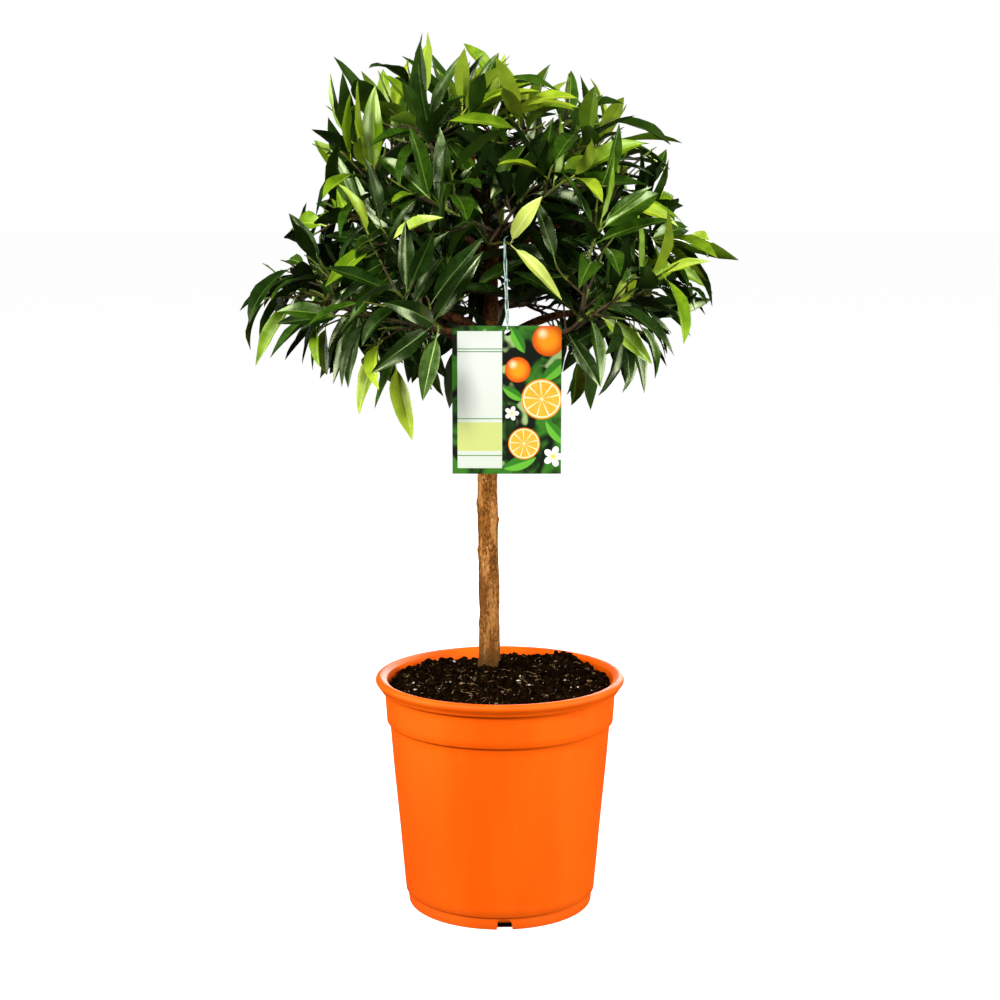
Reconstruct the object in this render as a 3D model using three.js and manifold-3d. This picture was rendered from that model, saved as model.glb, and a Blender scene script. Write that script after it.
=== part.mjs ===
// A small standard tree in a round plastic nursery pot, with a printed label hung in its crown.
// Millimetres, +Z up, the front of the tree faces -Y, and the origin is the middle of the pot's
// flat underside. A clean stem carries a broad crown of narrow evergreen leaves: the stem goes on
// as a leader, boughs leave both in three tiers, and each bough ends in a mass of leafy twigs.

import * as THREE from 'three';
import { mergeVertices } from 'three/addons/utils/BufferGeometryUtils.js';
import Module from 'manifold-3d';

const wasm = await Module();
wasm.setup();

// Driving dimensions

const TOUCHING_GAP = 0.3;
const LIMB_CLEARANCE = 0.35;
const GOLDEN_ANGLE = Math.PI * (3 - Math.sqrt(5));
const LABEL_MASS = 'mid_1';

const POT = {
  height: 232.5,
  sides: 30,
  wall: 1.8,
  floor: 3,
  footRadius: 92.3,
  footHeight: 12.5,
  bodyRadius: 95.2,
  shoulderHeight: 186,
  shoulderRadius: 110.2,
  neckLowRadius: 113.3,
  neckTopRadius: 115.2,
  lipDepth: 13,
  lipRadius: 124,
};
const RECESS = { inner: 34, outer: 74, depth: 1.4 };
const NOTCH = { count: 4, firstAngle: -87.2, height: 8, topWidth: 13, footWidth: 16, from: 84, to: 100 };

const SOIL = {
  edgeHeight: 220,
  rings: 3,
  crown: 3,
  moundRadius: 36,
  moundHeight: 15,
  lumpHeight: 2.5,
  lumpLength: 13,
};

const TRUNK = {
  x: -11.5,
  y: 6,
  footHeight: 231,
  forkHeight: 590,
  footRadius: 10.4,
  forkRadius: 9.4,
  flare: 2.6,
  flareHeight: 13,
  sway: 0.9,
  swell: 0.3,
  topBevel: 2.2,
  sides: 10,
  steps: 13,
};
// Old leaf scars that stand out of the stem: height, and the side they are on in degrees.
const SCARS = [[283, 190], [357, 175], [388, 350], [405, 185], [446, 20], [520, 250]];
const SCAR_RADIUS = 2.8;

const LEADER = {
  topHeight: 752,
  setOffX: 1.5,
  leanX: -14,
  leanY: -6,
  swayX: 5,
  swayY: 4,
  footRadius: 6.4,
  tipRadius: 2.9,
  sunk: 6,
  sides: 7,
  steps: 8,
};

// Boughs and masses come in tiers round the stem. Angles are in degrees, counted from the right.
const TIERS = [
  { name: 'low', count: 6, firstAngle: 8, reach: 146, height: 600, from: 503, fromStep: 15,
    footRadius: 5.4, tipRadius: 2.7, rise: 0.35, order: [3, 5, 1, 4, 2, 0] },
  { name: 'mid', count: 5, firstAngle: 280, reach: 112, height: 692, from: 604, fromStep: 13,
    footRadius: 4.4, tipRadius: 2.5, rise: 0.32, order: [0, 2, 4, 1, 3] },
  { name: 'top', count: 3, firstAngle: 215, reach: 74, height: 772, from: 682, fromStep: 14,
    footRadius: 3.2, tipRadius: 2.3, rise: 0.28, order: [0, 1, 2] },
];
const SCATTER = { angle: 10, reach: 0.08, height: 12 };
const BOUGH = { sides: 5, steps: 4, tipShort: 42 };
const HEART_HEIGHT = 800;
const STEM = { beyond: 16, tipRadius: 2, sides: 5, steps: 2 };

// The dome on which the leafy shoots end: radius from the stem and height, from the skirt's
// inner edge out over the shoulder to the top. At some heights the crown rises to the right.
const DOME = [
  [76, 584], [116, 572], [158, 584], [184, 618], [172, 655],
  [148, 695], [140, 735], [120, 766], [68, 784], [0, 785],
];
const DOME_LEAN = [[572, -0.06], [640, 0.12], [780, -0.06]];
const SHELLS = [
  { shoots: 73, inset: 0, seed: 153, leaves: 8 },
  { shoots: 20, inset: 58, seed: 977, leaves: 7 },
];
// Where the crown reaches furthest: the tip of a leaf, and the way its shoot points.
const FURTHEST = [
  { tip: [-83, -80, 484], axis: [0.15, -0.1, -1] },
  { tip: [-247, -30, 600], axis: [-0.9, -0.1, -0.35] },
  { tip: [226, -20, 656], axis: [1, 0, -0.05] },
  { tip: [-70, -30, 852], axis: [0.1, 0, 1] },
  { tip: [-160, 0, 828], axis: [-0.6, 0, 0.8] },
  { tip: [172, 0, 768], axis: [0.95, 0, 0.2] },
];
const FURTHEST_SPRAY = { seed: 5501, leaves: 6, lastLeaf: 72 };
const SHOOT = {
  footRadius: 1.9,
  tipRadius: 1.3,
  sides: 3,
  steps: 2,
  leafyShare: 0.7,
  turnJitter: 0.25,
  insetJitter: 9,
  axisJitter: 0.5,
};
const SEED_STEP = { shoot: 613, leaf: 7, attempt: 101, mass: 7919, tier: 31 };
const LEAF = {
  length: 74,
  spread: 0.2,
  width: 27,
  widest: 0.45,
  depth: 1.8,
  sunk: 0.2,
  open: 52,
  openOfLast: 0.3,
  rankJitter: 0.7,
  droop: 34,
  tries: 9,
  shorterEachTry: 0.06,
  closerEachTry: 0.05,
};

// The label hangs square to the front, and its loop hangs over the twig at the pivot.
const LABEL = {
  left: -43.8,
  width: 100,
  top: 585.6,
  height: 136,
  thickness: 0.9,
  hole: [7, 579.4],
  holeRadius: 3,
  pivot: [4, -111, 661],
  swingForward: 62,
  swingBack: 11,
  margin: 3.5,
};
const LOOP = { radius: 0.6, halfWidth: 2.4, twist: 55, sides: 6, arcSteps: 6, strandSteps: 4 };
// The young twig that carries the label ends just beside the loop, in two leaves.
const HANGER = {
  radius: 1.5,
  sides: 6,
  steps: 6,
  from: 0.45,
  before: [-13, 3, -2],
  beyond: [6, -0.5, 1],
  room: 2,
};
const HANGER_LEAF = { faces: new THREE.Vector3(-0.2, -0.6, 0.7), droop: 0.35 };
const HANGER_LEAVES = [
  { towards: [33, -14, 44], length: 58 },
  { towards: [52, -22, -24], length: 78 },
];

// Small helpers

const vec = (x = 0, y = 0, z = 0) => new THREE.Vector3(x, y, z);
const radians = (degrees) => (degrees * Math.PI) / 180;
const mix = (a, b, share) => a + (b - a) * share;
const clamp = (value, low, high) => Math.min(Math.max(value, low), high);
const bezier = (a, b, c, d) => new THREE.CubicBezierCurve3(a, b, c, d);
const outward = (angle) => vec(Math.cos(angle), Math.sin(angle), 0);

// A small seeded generator, so that the tree is the same every time.
function seeded(seed) {
  let state = seed >>> 0;
  return () => {
    state = (state + 0x6d2b79f5) >>> 0;
    let t = state;
    t = Math.imul(t ^ (t >>> 15), t | 1);
    t ^= t + Math.imul(t ^ (t >>> 7), t | 61);
    return ((t ^ (t >>> 14)) >>> 0) / 4294967296;
  };
}

function solidOf(geometry) {
  const bare = geometry.index ? geometry.toNonIndexed() : geometry.clone();
  bare.deleteAttribute('normal');
  bare.deleteAttribute('uv');
  const merged = mergeVertices(bare, 1e-4);
  return new wasm.Manifold(new wasm.Mesh({
    numProp: 3,
    vertProperties: new Float32Array(merged.attributes.position.array),
    triVerts: new Uint32Array(merged.index.array),
  }));
}

function geometryOf(solid) {
  const mesh = solid.getMesh();
  const places = new Float32Array(mesh.numVert * 3);
  for (let i = 0; i < mesh.numVert; i++) {
    places.set(mesh.vertProperties.subarray(i * mesh.numProp, i * mesh.numProp + 3), i * 3);
  }
  const geometry = new THREE.BufferGeometry();
  geometry.setAttribute('position', new THREE.BufferAttribute(places, 3));
  geometry.setIndex(new THREE.BufferAttribute(mesh.triVerts, 1));
  geometry.computeVertexNormals();
  return geometry;
}

// The largest body of a solid, so that a loose scrap is dropped.
function largest(solid) {
  return solid.decompose().reduce((best, body) => (body.volume() > best.volume() ? body : best));
}

// Solids are joined two by two, then those two by two, which is quicker than one after another.
function joined(solids) {
  let row = solids;
  while (row.length > 1) {
    const pairs = [];
    for (let i = 0; i < row.length; i += 2) pairs.push(i + 1 < row.length ? row[i].add(row[i + 1]) : row[i]);
    row = pairs;
  }
  return row[0];
}

// A limb: a tapering stick along a curve. It is a closed cylinder whose rings are moved onto the
// curve, and it keeps its rings, so that twigs and leaves can be set on its straight stretches.
class Limb {
  constructor(curve, radiusAt, sides, steps) {
    Object.assign(this, { curve, radiusAt, sides, steps });
    let side = vec(0.2, 0.3, 1).cross(curve.getTangent(0));
    this.rings = Array.from({ length: steps + 1 }, (_, i) => {
      const along = curve.getTangent(i / steps).normalize();
      side = side.clone().addScaledVector(along, -side.dot(along)).normalize();
      return { at: curve.getPoint(i / steps), side, other: side.clone().cross(along).normalize() };
    });
  }

  geometry(extra = 0) {
    const geometry = new THREE.CylinderGeometry(1, 1, 1, this.sides, this.steps);
    const place = geometry.attributes.position;
    for (let i = 0; i < place.count; i++) {
      const share = place.getY(i) + 0.5;
      const { at, side, other } = this.rings[Math.round(share * this.steps)];
      const radius = this.radiusAt(share) + extra;
      const p = at.clone().addScaledVector(side, place.getX(i) * radius)
        .addScaledVector(other, place.getZ(i) * radius);
      place.setXYZ(i, p.x, p.y, p.z);
    }
    return geometry;
  }

  solid(extra = 0) {
    return solidOf(this.geometry(extra));
  }

  // A place on the axis between two rings, with the direction there and two directions across.
  on(share) {
    const before = Math.min(Math.floor(share * this.steps), this.steps - 1);
    const [one, next] = [this.rings[before], this.rings[before + 1]];
    return {
      at: one.at.clone().lerp(next.at, share * this.steps - before),
      along: next.at.clone().sub(one.at).normalize(),
      side: one.side,
      other: one.other,
    };
  }
}

// The pot

function lathe(points, sides) {
  const profile = points.map(([r, z]) => new THREE.Vector2(r, z));
  return new THREE.LatheGeometry(profile, sides).rotateX(Math.PI / 2);
}

const POT_NECK_TOP = POT.height - POT.lipDepth;
const POT_NECK_FOOT = POT.shoulderHeight + 1.5;
const POT_BODY_FOOT = POT.footHeight + 1;

function potProfile() {
  const { height: top, lipRadius: lip, wall } = POT;
  return [
    [0, 0], [RECESS.inner, 0], [RECESS.inner + 1, RECESS.depth], [RECESS.outer - 1, RECESS.depth],
    [RECESS.outer, 0], [POT.footRadius, 0], [POT.footRadius + 0.9, POT.footHeight],
    [POT.bodyRadius, POT_BODY_FOOT], [POT.shoulderRadius, POT.shoulderHeight],
    [POT.neckLowRadius, POT_NECK_FOOT], [POT.neckTopRadius, POT_NECK_TOP],
    [lip - 2.4, POT_NECK_TOP], [lip - 0.2, POT_NECK_TOP + 3.2], [lip, top - 6.2], [lip - 1.8, top - 1.9],
    [lip - 5, top], [lip - 9, top - 0.3], [lip - 10.5, top - 1.8],
    [POT.neckLowRadius - wall, POT_NECK_FOOT + 0.8], [POT.shoulderRadius - wall, POT.shoulderHeight - 0.5],
    [POT.bodyRadius - wall, POT_BODY_FOOT + 1], [POT.footRadius - wall, POT.floor], [0, POT.floor],
  ];
}

// A drain notch cut through the foot of the wall, wider at the bottom.
function notchCutter(angle) {
  const shape = new THREE.Shape([
    new THREE.Vector2(-NOTCH.footWidth / 2, -1), new THREE.Vector2(NOTCH.footWidth / 2, -1),
    new THREE.Vector2(NOTCH.topWidth / 2, NOTCH.height), new THREE.Vector2(-NOTCH.topWidth / 2, NOTCH.height),
  ]);
  const block = new THREE.ExtrudeGeometry(shape, { depth: NOTCH.to - NOTCH.from, bevelEnabled: false });
  return solidOf(block.rotateX(Math.PI / 2).translate(0, -NOTCH.from, 0).rotateZ(radians(angle + 90)));
}

function makePot() {
  let pot = solidOf(lathe(potProfile(), POT.sides));
  for (let i = 0; i < NOTCH.count; i++) {
    pot = pot.subtract(notchCutter(NOTCH.firstAngle + (360 * i) / NOTCH.count));
  }
  return pot;
}

// The soil, which fills the pot and is heaped round the stem

const SOIL_SLACK = POT.wall + TOUCHING_GAP + 0.4;
const SOIL_EDGE = POT.neckLowRadius - SOIL_SLACK;

function soilHeightAt(x, y) {
  const fade = clamp((1 - Math.hypot(x, y) / SOIL_EDGE) * 5, 0, 1);
  const fromStem = Math.hypot(x - TRUNK.x, y - TRUNK.y) / SOIL.moundRadius;
  const [u, v] = [x / SOIL.lumpLength, y / SOIL.lumpLength];
  const lumps = Math.sin(u + 1.1) * Math.cos(v - 0.4) + 0.6 * Math.sin(2.1 * u + 1.7 * v);
  const mound = SOIL.moundHeight * Math.exp(-(fromStem ** 2));
  return SOIL.edgeHeight + fade * (SOIL.crown + SOIL.lumpHeight * lumps) + mound;
}

function makeSoil(trunkWide) {
  const side = [
    [0, POT.floor + TOUCHING_GAP], [POT.footRadius - SOIL_SLACK, POT.floor + TOUCHING_GAP],
    [POT.bodyRadius - SOIL_SLACK, POT_BODY_FOOT + 2],
    [POT.shoulderRadius - SOIL_SLACK, POT.shoulderHeight - 0.5], [SOIL_EDGE, POT_NECK_FOOT + 2],
    [SOIL_EDGE, SOIL.edgeHeight],
  ];
  const top = [];
  for (let i = 1; i <= SOIL.rings; i++) top.push([SOIL_EDGE * (1 - i / SOIL.rings), SOIL.edgeHeight + 1]);
  const geometry = lathe([...side, ...top], POT.sides);
  const place = geometry.attributes.position;
  for (let i = 0; i < place.count; i++) {
    if (place.getZ(i) > SOIL.edgeHeight + 0.5) place.setZ(i, soilHeightAt(place.getX(i), place.getY(i)));
  }
  return largest(solidOf(geometry).subtract(trunkWide));
}

// The stem, its leader and the boughs

class HeightCurve extends THREE.Curve {
  constructor(pointAt, from, to) {
    super();
    Object.assign(this, { pointAt, from, to });
  }

  getPoint(share, target = vec()) {
    return target.copy(this.pointAt(mix(this.from, this.to, share)));
  }
}

function trunkPoint(z) {
  const share = (z - TRUNK.footHeight) / (TRUNK.forkHeight - TRUNK.footHeight);
  return vec(
    TRUNK.x + TRUNK.sway * Math.sin(share * 7.5 + 0.6),
    TRUNK.y + TRUNK.sway * Math.cos(share * 5.2),
    z,
  );
}

function trunkRadiusAt(share) {
  const rise = share * (TRUNK.forkHeight - TRUNK.footHeight);
  const flare = TRUNK.flare * Math.exp(-rise / TRUNK.flareHeight);
  const swell = TRUNK.swell * (Math.sin(share * 31) + 0.7 * Math.sin(share * 57 + 1));
  const bevel = share > 0.999 ? TRUNK.topBevel : 0;
  return mix(TRUNK.footRadius, TRUNK.forkRadius, share) + flare + swell - bevel;
}

const trunkLimb = new Limb(
  new HeightCurve(trunkPoint, TRUNK.footHeight, TRUNK.forkHeight), trunkRadiusAt, TRUNK.sides, TRUNK.steps,
);

function makeTrunk(extra) {
  const scars = SCARS.map(([z, angle]) => {
    const radius = trunkRadiusAt((z - TRUNK.footHeight) / (TRUNK.forkHeight - TRUNK.footHeight));
    const at = trunkPoint(z).addScaledVector(outward(radians(angle)), radius - 1);
    return solidOf(new THREE.IcosahedronGeometry(SCAR_RADIUS + extra, 0).translate(at.x, at.y, at.z));
  });
  return joined([trunkLimb.solid(extra), ...scars]);
}

function leaderPoint(z) {
  const share = (z - TRUNK.forkHeight) / (LEADER.topHeight - TRUNK.forkHeight);
  const foot = trunkPoint(TRUNK.forkHeight);
  return vec(
    foot.x + LEADER.setOffX + LEADER.leanX * share + LEADER.swayX * Math.sin(share * 5),
    foot.y + LEADER.leanY * share + LEADER.swayY * Math.sin(share * 4),
    z,
  );
}

const leaderLimb = new Limb(
  new HeightCurve(leaderPoint, TRUNK.forkHeight - LEADER.sunk, LEADER.topHeight),
  (share) => mix(LEADER.footRadius, LEADER.tipRadius, share), LEADER.sides, LEADER.steps,
);

// How much the crown rises to the right at a height, in mm for each mm from the stem.
function leanAt(z) {
  const after = DOME_LEAN.findIndex(([height]) => height > z);
  if (after < 1) return DOME_LEAN.at(after)[1];
  const [[z0, lean0], [z1, lean1]] = DOME_LEAN.slice(after - 1, after + 1);
  return mix(lean0, lean1, (z - z0) / (z1 - z0));
}

// Where each mass sits, and the bough that carries it.
function tierMasses() {
  return TIERS.flatMap((tier) => tier.order.map((rank, i) => {
    const random = seeded(tier.height * SEED_STEP.tier + i * SEED_STEP.mass);
    const out = outward(radians(tier.firstAngle + (360 * i) / tier.count + SCATTER.angle * (random() - 0.5)));
    const reach = tier.reach * (1 + SCATTER.reach * (random() - 0.5));
    const centre = vec(TRUNK.x, TRUNK.y, 0).addScaledVector(out, reach);
    centre.z = tier.height + leanAt(tier.height) * (centre.x - TRUNK.x) + SCATTER.height * (random() - 0.5);
    const from = tier.from + tier.fromStep * rank;
    const foot = from < TRUNK.forkHeight - 10 ? trunkPoint(from) : leaderPoint(from);
    return { name: `${tier.name}_${i + 1}`, centre, out, bough: boughLimb(tier, foot, centre, out) };
  }));
}

// A bough rises steeply from its foot, bends over, and stops short of the middle of its mass.
function boughLimb(tier, foot, centre, out) {
  const span = centre.clone().sub(foot);
  const tip = centre.clone().addScaledVector(span.clone().normalize(), -BOUGH.tipShort);
  const length = tip.distanceTo(foot);
  const start = foot.clone().addScaledVector(out, length * 0.3);
  start.z += length * tier.rise;
  const end = tip.clone().addScaledVector(out, -length * 0.28);
  const radiusAt = (share) => mix(tier.footRadius, tier.tipRadius, share);
  return new Limb(bezier(foot, start, end, tip), radiusAt, BOUGH.sides, BOUGH.steps);
}

// The top mass sits on the leader itself.
function heartMass() {
  const centre = leaderPoint(LEADER.topHeight).setZ(HEART_HEIGHT);
  return { name: 'leader', centre, out: vec(0, 0, 1), bough: leaderLimb };
}

// The space of one mass: it is nearer to the mass's own centre than to any other.

function makeSpaces(masses) {
  for (const mass of masses) {
    mass.walls = masses.filter((other) => other !== mass).map((other) => {
      const middle = mass.centre.clone().add(other.centre).multiplyScalar(0.5);
      const normal = other.centre.clone().sub(mass.centre).normalize();
      return { normal, offset: normal.dot(middle) - TOUCHING_GAP / 2 - 0.1 };
    });
  }
}

const roomInside = (mass, p) => Math.min(...mass.walls.map((wall) => wall.offset - wall.normal.dot(p)));

function nearestMass(masses, p) {
  return masses.reduce((best, mass) => (mass.centre.distanceTo(p) < best.centre.distanceTo(p) ? mass : best));
}

// Faces with their boxes, to find out whether something new would cross something that is there.

function facesOf(geometry, owner) {
  const bare = geometry.index ? geometry.toNonIndexed() : geometry;
  const faces = [];
  for (let i = 0; i < bare.attributes.position.count; i += 3) {
    const corners = [0, 1, 2].map((k) => vec().fromBufferAttribute(bare.attributes.position, i + k));
    faces.push({ corners, box: new THREE.Box3().setFromPoints(corners), owner });
  }
  return faces;
}

const [ab, ac, ad] = [vec(), vec(), vec()];
const volume = (a, b, c, d) => ab.subVectors(b, a).cross(ac.subVectors(c, a)).dot(ad.subVectors(d, a));

function edgeMeetsFace(p, q, [a, b, c]) {
  if (volume(a, b, c, p) * volume(a, b, c, q) > 0) return false;
  const turns = [volume(p, q, a, b), volume(p, q, b, c), volume(p, q, c, a)];
  return turns.every((t) => t >= 0) || turns.every((t) => t <= 0);
}

function facesMeet(one, other) {
  return [0, 1, 2].some((i) => edgeMeetsFace(one[i], one[(i + 1) % 3], other)
    || edgeMeetsFace(other[i], other[(i + 1) % 3], one));
}

function meets(faces, obstacles, owner) {
  const whole = new THREE.Box3();
  for (const face of faces) whole.union(face.box);
  const near = obstacles.filter((face) => face.owner !== owner && face.box.intersectsBox(whole));
  return near.some((there) => faces.some((face) => face.box.intersectsBox(there.box)
    && facesMeet(face.corners, there.corners)));
}

// Leafy shoots

function domePoint(share) {
  const stretches = DOME.slice(1).map(([r1, z1], i) => {
    const [r0, z0] = DOME[i];
    const length = Math.hypot(r1 - r0, z1 - z0);
    return { r0, z0, r1, z1, length, area: length * (r0 + r1) };
  });
  let left = share * stretches.reduce((sum, { area }) => sum + area, 0);
  const { r0, z0, r1, z1, length, area } = stretches.find((stretch) => {
    if (left <= stretch.area) return true;
    left -= stretch.area;
    return false;
  });
  const t = left / area;
  return { r: mix(r0, r1, t), z: mix(z0, z1, t), outR: (z1 - z0) / length, outZ: (r0 - r1) / length };
}

// Shoots end evenly over the dome: equal areas, turned by the golden angle.
function shellShoots(shell) {
  return Array.from({ length: shell.shoots }, (_, i) => {
    const seed = shell.seed + i * SEED_STEP.shoot;
    const random = seeded(seed);
    const at = domePoint((i + 0.5) / shell.shoots);
    const out = outward(i * GOLDEN_ANGLE + SHOOT.turnJitter * (random() - 0.5) + shell.seed);
    const inset = shell.inset + SHOOT.insetJitter * (random() * 2 - 1);
    const tip = vec(TRUNK.x, TRUNK.y, 0).addScaledVector(out, Math.max(at.r - at.outR * inset, 4));
    tip.z = at.z - at.outZ * inset + leanAt(at.z) * (tip.x - TRUNK.x);
    const axis = out.clone().multiplyScalar(at.outR);
    axis.z = at.outZ * 0.8 + 0.2;
    const jitter = vec(random() - 0.5, random() - 0.5, random() - 0.5).multiplyScalar(SHOOT.axisJitter);
    axis.add(jitter).normalize();
    return { tip, axis, seed, leaves: shell.leaves };
  });
}

function furthestShoots() {
  return FURTHEST.map(({ tip, axis }, i) => {
    const direction = vec(...axis).normalize();
    return {
      tip: vec(...tip).addScaledVector(direction, -FURTHEST_SPRAY.lastLeaf),
      axis: direction,
      seed: FURTHEST_SPRAY.seed + i * SEED_STEP.shoot,
      leaves: FURTHEST_SPRAY.leaves,
    };
  });
}

// A shoot leaves the stem of its mass about 45 degrees short of its own tip, each at its own place.
function shootLimb(mass, shoot, rank, bend) {
  const { v0: foot, v3: end } = mass.stem.curve;
  const length = foot.distanceTo(end);
  const axis = end.clone().sub(foot).divideScalar(length);
  const ahead = shoot.tip.clone().sub(foot).dot(axis);
  const aside = foot.clone().addScaledVector(axis, ahead).distanceTo(shoot.tip);
  const start = mass.stem.on(clamp((ahead - aside) / length, 0.1 + 0.4 * rank, 0.6 + 0.38 * rank)).at;
  const reach = start.distanceTo(shoot.tip);
  const towards = shoot.tip.clone().sub(start).divideScalar(reach);
  const arrival = towards.clone().lerp(shoot.axis, bend);
  const curve = bezier(
    start,
    start.clone().addScaledVector(towards, reach * 0.3),
    shoot.tip.clone().addScaledVector(arrival, -reach * 0.33),
    shoot.tip,
  );
  return new Limb(curve, (s) => mix(SHOOT.footRadius, SHOOT.tipRadius, s), SHOOT.sides, SHOOT.steps);
}

// A leaf: two slim three-sided pyramids base to base, flat on top, with the keel of the midrib
// below. The foot is sunk in the twig, and the outer half droops.
function leafGeometry({ foot, middle, tip, side, normal, width }) {
  const edges = [-1, 1].map((sign) => middle.clone().addScaledVector(side, (sign * width) / 2));
  const keel = middle.clone().addScaledVector(normal, -LEAF.depth);
  const geometry = new THREE.SphereGeometry(1, 3, 2);
  const place = geometry.attributes.position;
  for (let i = 0; i < place.count; i++) {
    const [across, along] = [place.getZ(i), place.getY(i)];
    const rim = place.getX(i) < -0.5 ? keel : edges[across > 0 ? 1 : 0];
    const end = along > 0 ? tip : foot;
    const corner = Math.abs(along) < 0.5 ? rim : end;
    place.setXYZ(i, corner.x, corner.y, corner.z);
  }
  return geometry;
}

// The lines of a leaf: where it starts, where it goes, which way it faces, and how it droops.
function leafFrom(root, direction, up, length, droop) {
  const side = up.clone().cross(direction).normalize();
  const normal = direction.clone().cross(side).normalize();
  const bent = direction.clone().multiplyScalar(Math.cos(droop)).addScaledVector(normal, -Math.sin(droop));
  const middle = root.clone().addScaledVector(direction, length * LEAF.widest);
  return {
    foot: root.clone().addScaledVector(direction, -LEAF.sunk),
    middle,
    tip: middle.clone().addScaledVector(bent, length * (1 - LEAF.widest)),
    side,
    normal,
    width: (LEAF.width * length) / LEAF.length,
  };
}

// Leaves stand round their twig in three ranks, near the middle of its faces, and face its tip.
function leafOn(twig, shoot, index, attempt) {
  const random = seeded(shoot.seed + index * SEED_STEP.leaf + attempt * SEED_STEP.attempt);
  const last = index === 0;
  const share = last ? 0.985 : 1 - SHOOT.leafyShare * ((index - 0.6) / (shoot.leaves - 1));
  const { at, along, side, other } = twig.on(share);
  const turn = Math.PI / 3 + ((index * 2 + attempt) * 2 * Math.PI) / 3 + LEAF.rankJitter * (random() - 0.5);
  const wideness = (last ? LEAF.openOfLast : 0.75 + 0.5 * random()) * (1 - LEAF.closerEachTry * attempt);
  const open = radians(LEAF.open * wideness);
  const away = side.clone().multiplyScalar(Math.sin(turn)).addScaledVector(other, Math.cos(turn));
  const direction = along.clone().multiplyScalar(Math.cos(open)).addScaledVector(away, Math.sin(open));
  direction.normalize();
  const length = LEAF.length * (1 + LEAF.spread * (random() * 2 - 1)) * (1 - LEAF.shorterEachTry * attempt);
  const droop = radians(LEAF.droop) * (0.3 + random()) * Math.hypot(direction.x, direction.y);
  const up = vec(0.5 * (random() - 0.5), 0.5 * (random() - 0.5), 0.55).add(along);
  return leafFrom(at, direction, up, length, droop);
}

function growStem(mass) {
  const along = mass.bough.curve.getTangent(1).normalize();
  const start = mass.bough.curve.getPoint(1).addScaledVector(along, TOUCHING_GAP);
  const end = mass.centre.clone().addScaledVector(mass.out, STEM.beyond);
  const length = start.distanceTo(end);
  const curve = bezier(
    start,
    start.clone().addScaledVector(along, length * 0.35),
    end.clone().addScaledVector(mass.out, -length * 0.3),
    end,
  );
  return new Limb(curve, (s) => mix(mass.bough.radiusAt(1), STEM.tipRadius, s), STEM.sides, STEM.steps);
}

// The twig that the label hangs on, with its leaves, each as long as its mass has room for.
function growHanger(mass) {
  const pivot = vec(...LABEL.pivot);
  const route = new THREE.CatmullRomCurve3([
    mass.stem.on(HANGER.from).at, pivot.clone().add(vec(...HANGER.before)), pivot,
    pivot.clone().add(vec(...HANGER.beyond)),
  ]);
  const twig = new Limb(route, () => HANGER.radius, HANGER.sides, HANGER.steps);
  const leaves = HANGER_LEAVES.map(({ towards, length }) => {
    const { faces, droop } = HANGER_LEAF;
    const leafOf = (size) => leafFrom(twig.on(0.99).at, vec(...towards).normalize(), faces, size, droop);
    let size = length;
    while (roomInside(mass, leafOf(size).tip) < HANGER.room) size -= 2;
    return leafGeometry(leafOf(size));
  });
  return [twig.geometry(), ...leaves];
}

// Twigs first, then leaves: what would leave the mass's space or cross something is left out.
function growMass(mass, shoots, walls) {
  mass.stem = growStem(mass);
  const pieces = [mass.stem.solid()];
  const obstacles = [...walls];
  const keep = (geometry, owner) => {
    pieces.push(solidOf(geometry));
    obstacles.push(...facesOf(geometry, owner));
  };
  if (mass.name === LABEL_MASS) for (const geometry of growHanger(mass)) keep(geometry, null);
  const inside = (faces) => faces.every((face) => face.corners.every((p) => roomInside(mass, p) > 0.05));
  const leafy = [];
  for (const [i, shoot] of shoots.entries()) {
    const twigs = [1, 0].map((bend) => shootLimb(mass, shoot, i / shoots.length, bend));
    const twig = twigs.find((one) => {
      const faces = facesOf(one.geometry(), shoot);
      return inside(faces) && !meets(faces, walls, shoot);
    });
    if (!twig) continue;
    keep(twig.geometry(), shoot);
    leafy.push({ shoot, twig });
  }
  for (const { shoot, twig } of leafy) {
    for (let i = 0; i < shoot.leaves; i++) {
      for (let attempt = 0; attempt < LEAF.tries; attempt++) {
        const geometry = leafGeometry(leafOn(twig, shoot, i, attempt));
        const faces = facesOf(geometry, null);
        if (!inside(faces) || meets(faces, obstacles, shoot)) continue;
        keep(geometry, null);
        break;
      }
    }
  }
  return largest(joined(pieces));
}

// The label on its loop, and the room that it swings through

// Shapes for it are drawn seen from the right, with Y across and Z up, and stand along X.
const sideways = new THREE.Matrix4().makeBasis(vec(0, 1, 0), vec(0, 0, 1), vec(1, 0, 0));

function labelRoom() {
  const [x, y, z] = LABEL.pivot;
  const reach = z - LABEL.top;
  const sector = (inner, outer, middle, halfWidth) => {
    const from = radians(-90 - LABEL.swingForward);
    const to = radians(-90 + LABEL.swingBack);
    const shape = new THREE.Shape();
    shape.absarc(0, 0, outer, from, to, false);
    if (inner > 0) shape.absarc(0, 0, inner, to, from, true);
    else shape.lineTo(0, 4);
    return new THREE.ExtrudeGeometry(shape, { depth: 2 * halfWidth, bevelEnabled: false, curveSegments: 6 })
      .applyMatrix4(sideways).translate(middle - halfWidth, y, z);
  };
  const { left, width, height, margin } = LABEL;
  const card = sector(reach - margin, reach + height + margin, left + width / 2, width / 2 + margin);
  const loop = sector(0, reach, x, LOOP.halfWidth + margin + 1);
  return [...facesOf(card, null), ...facesOf(loop, null)];
}

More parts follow.
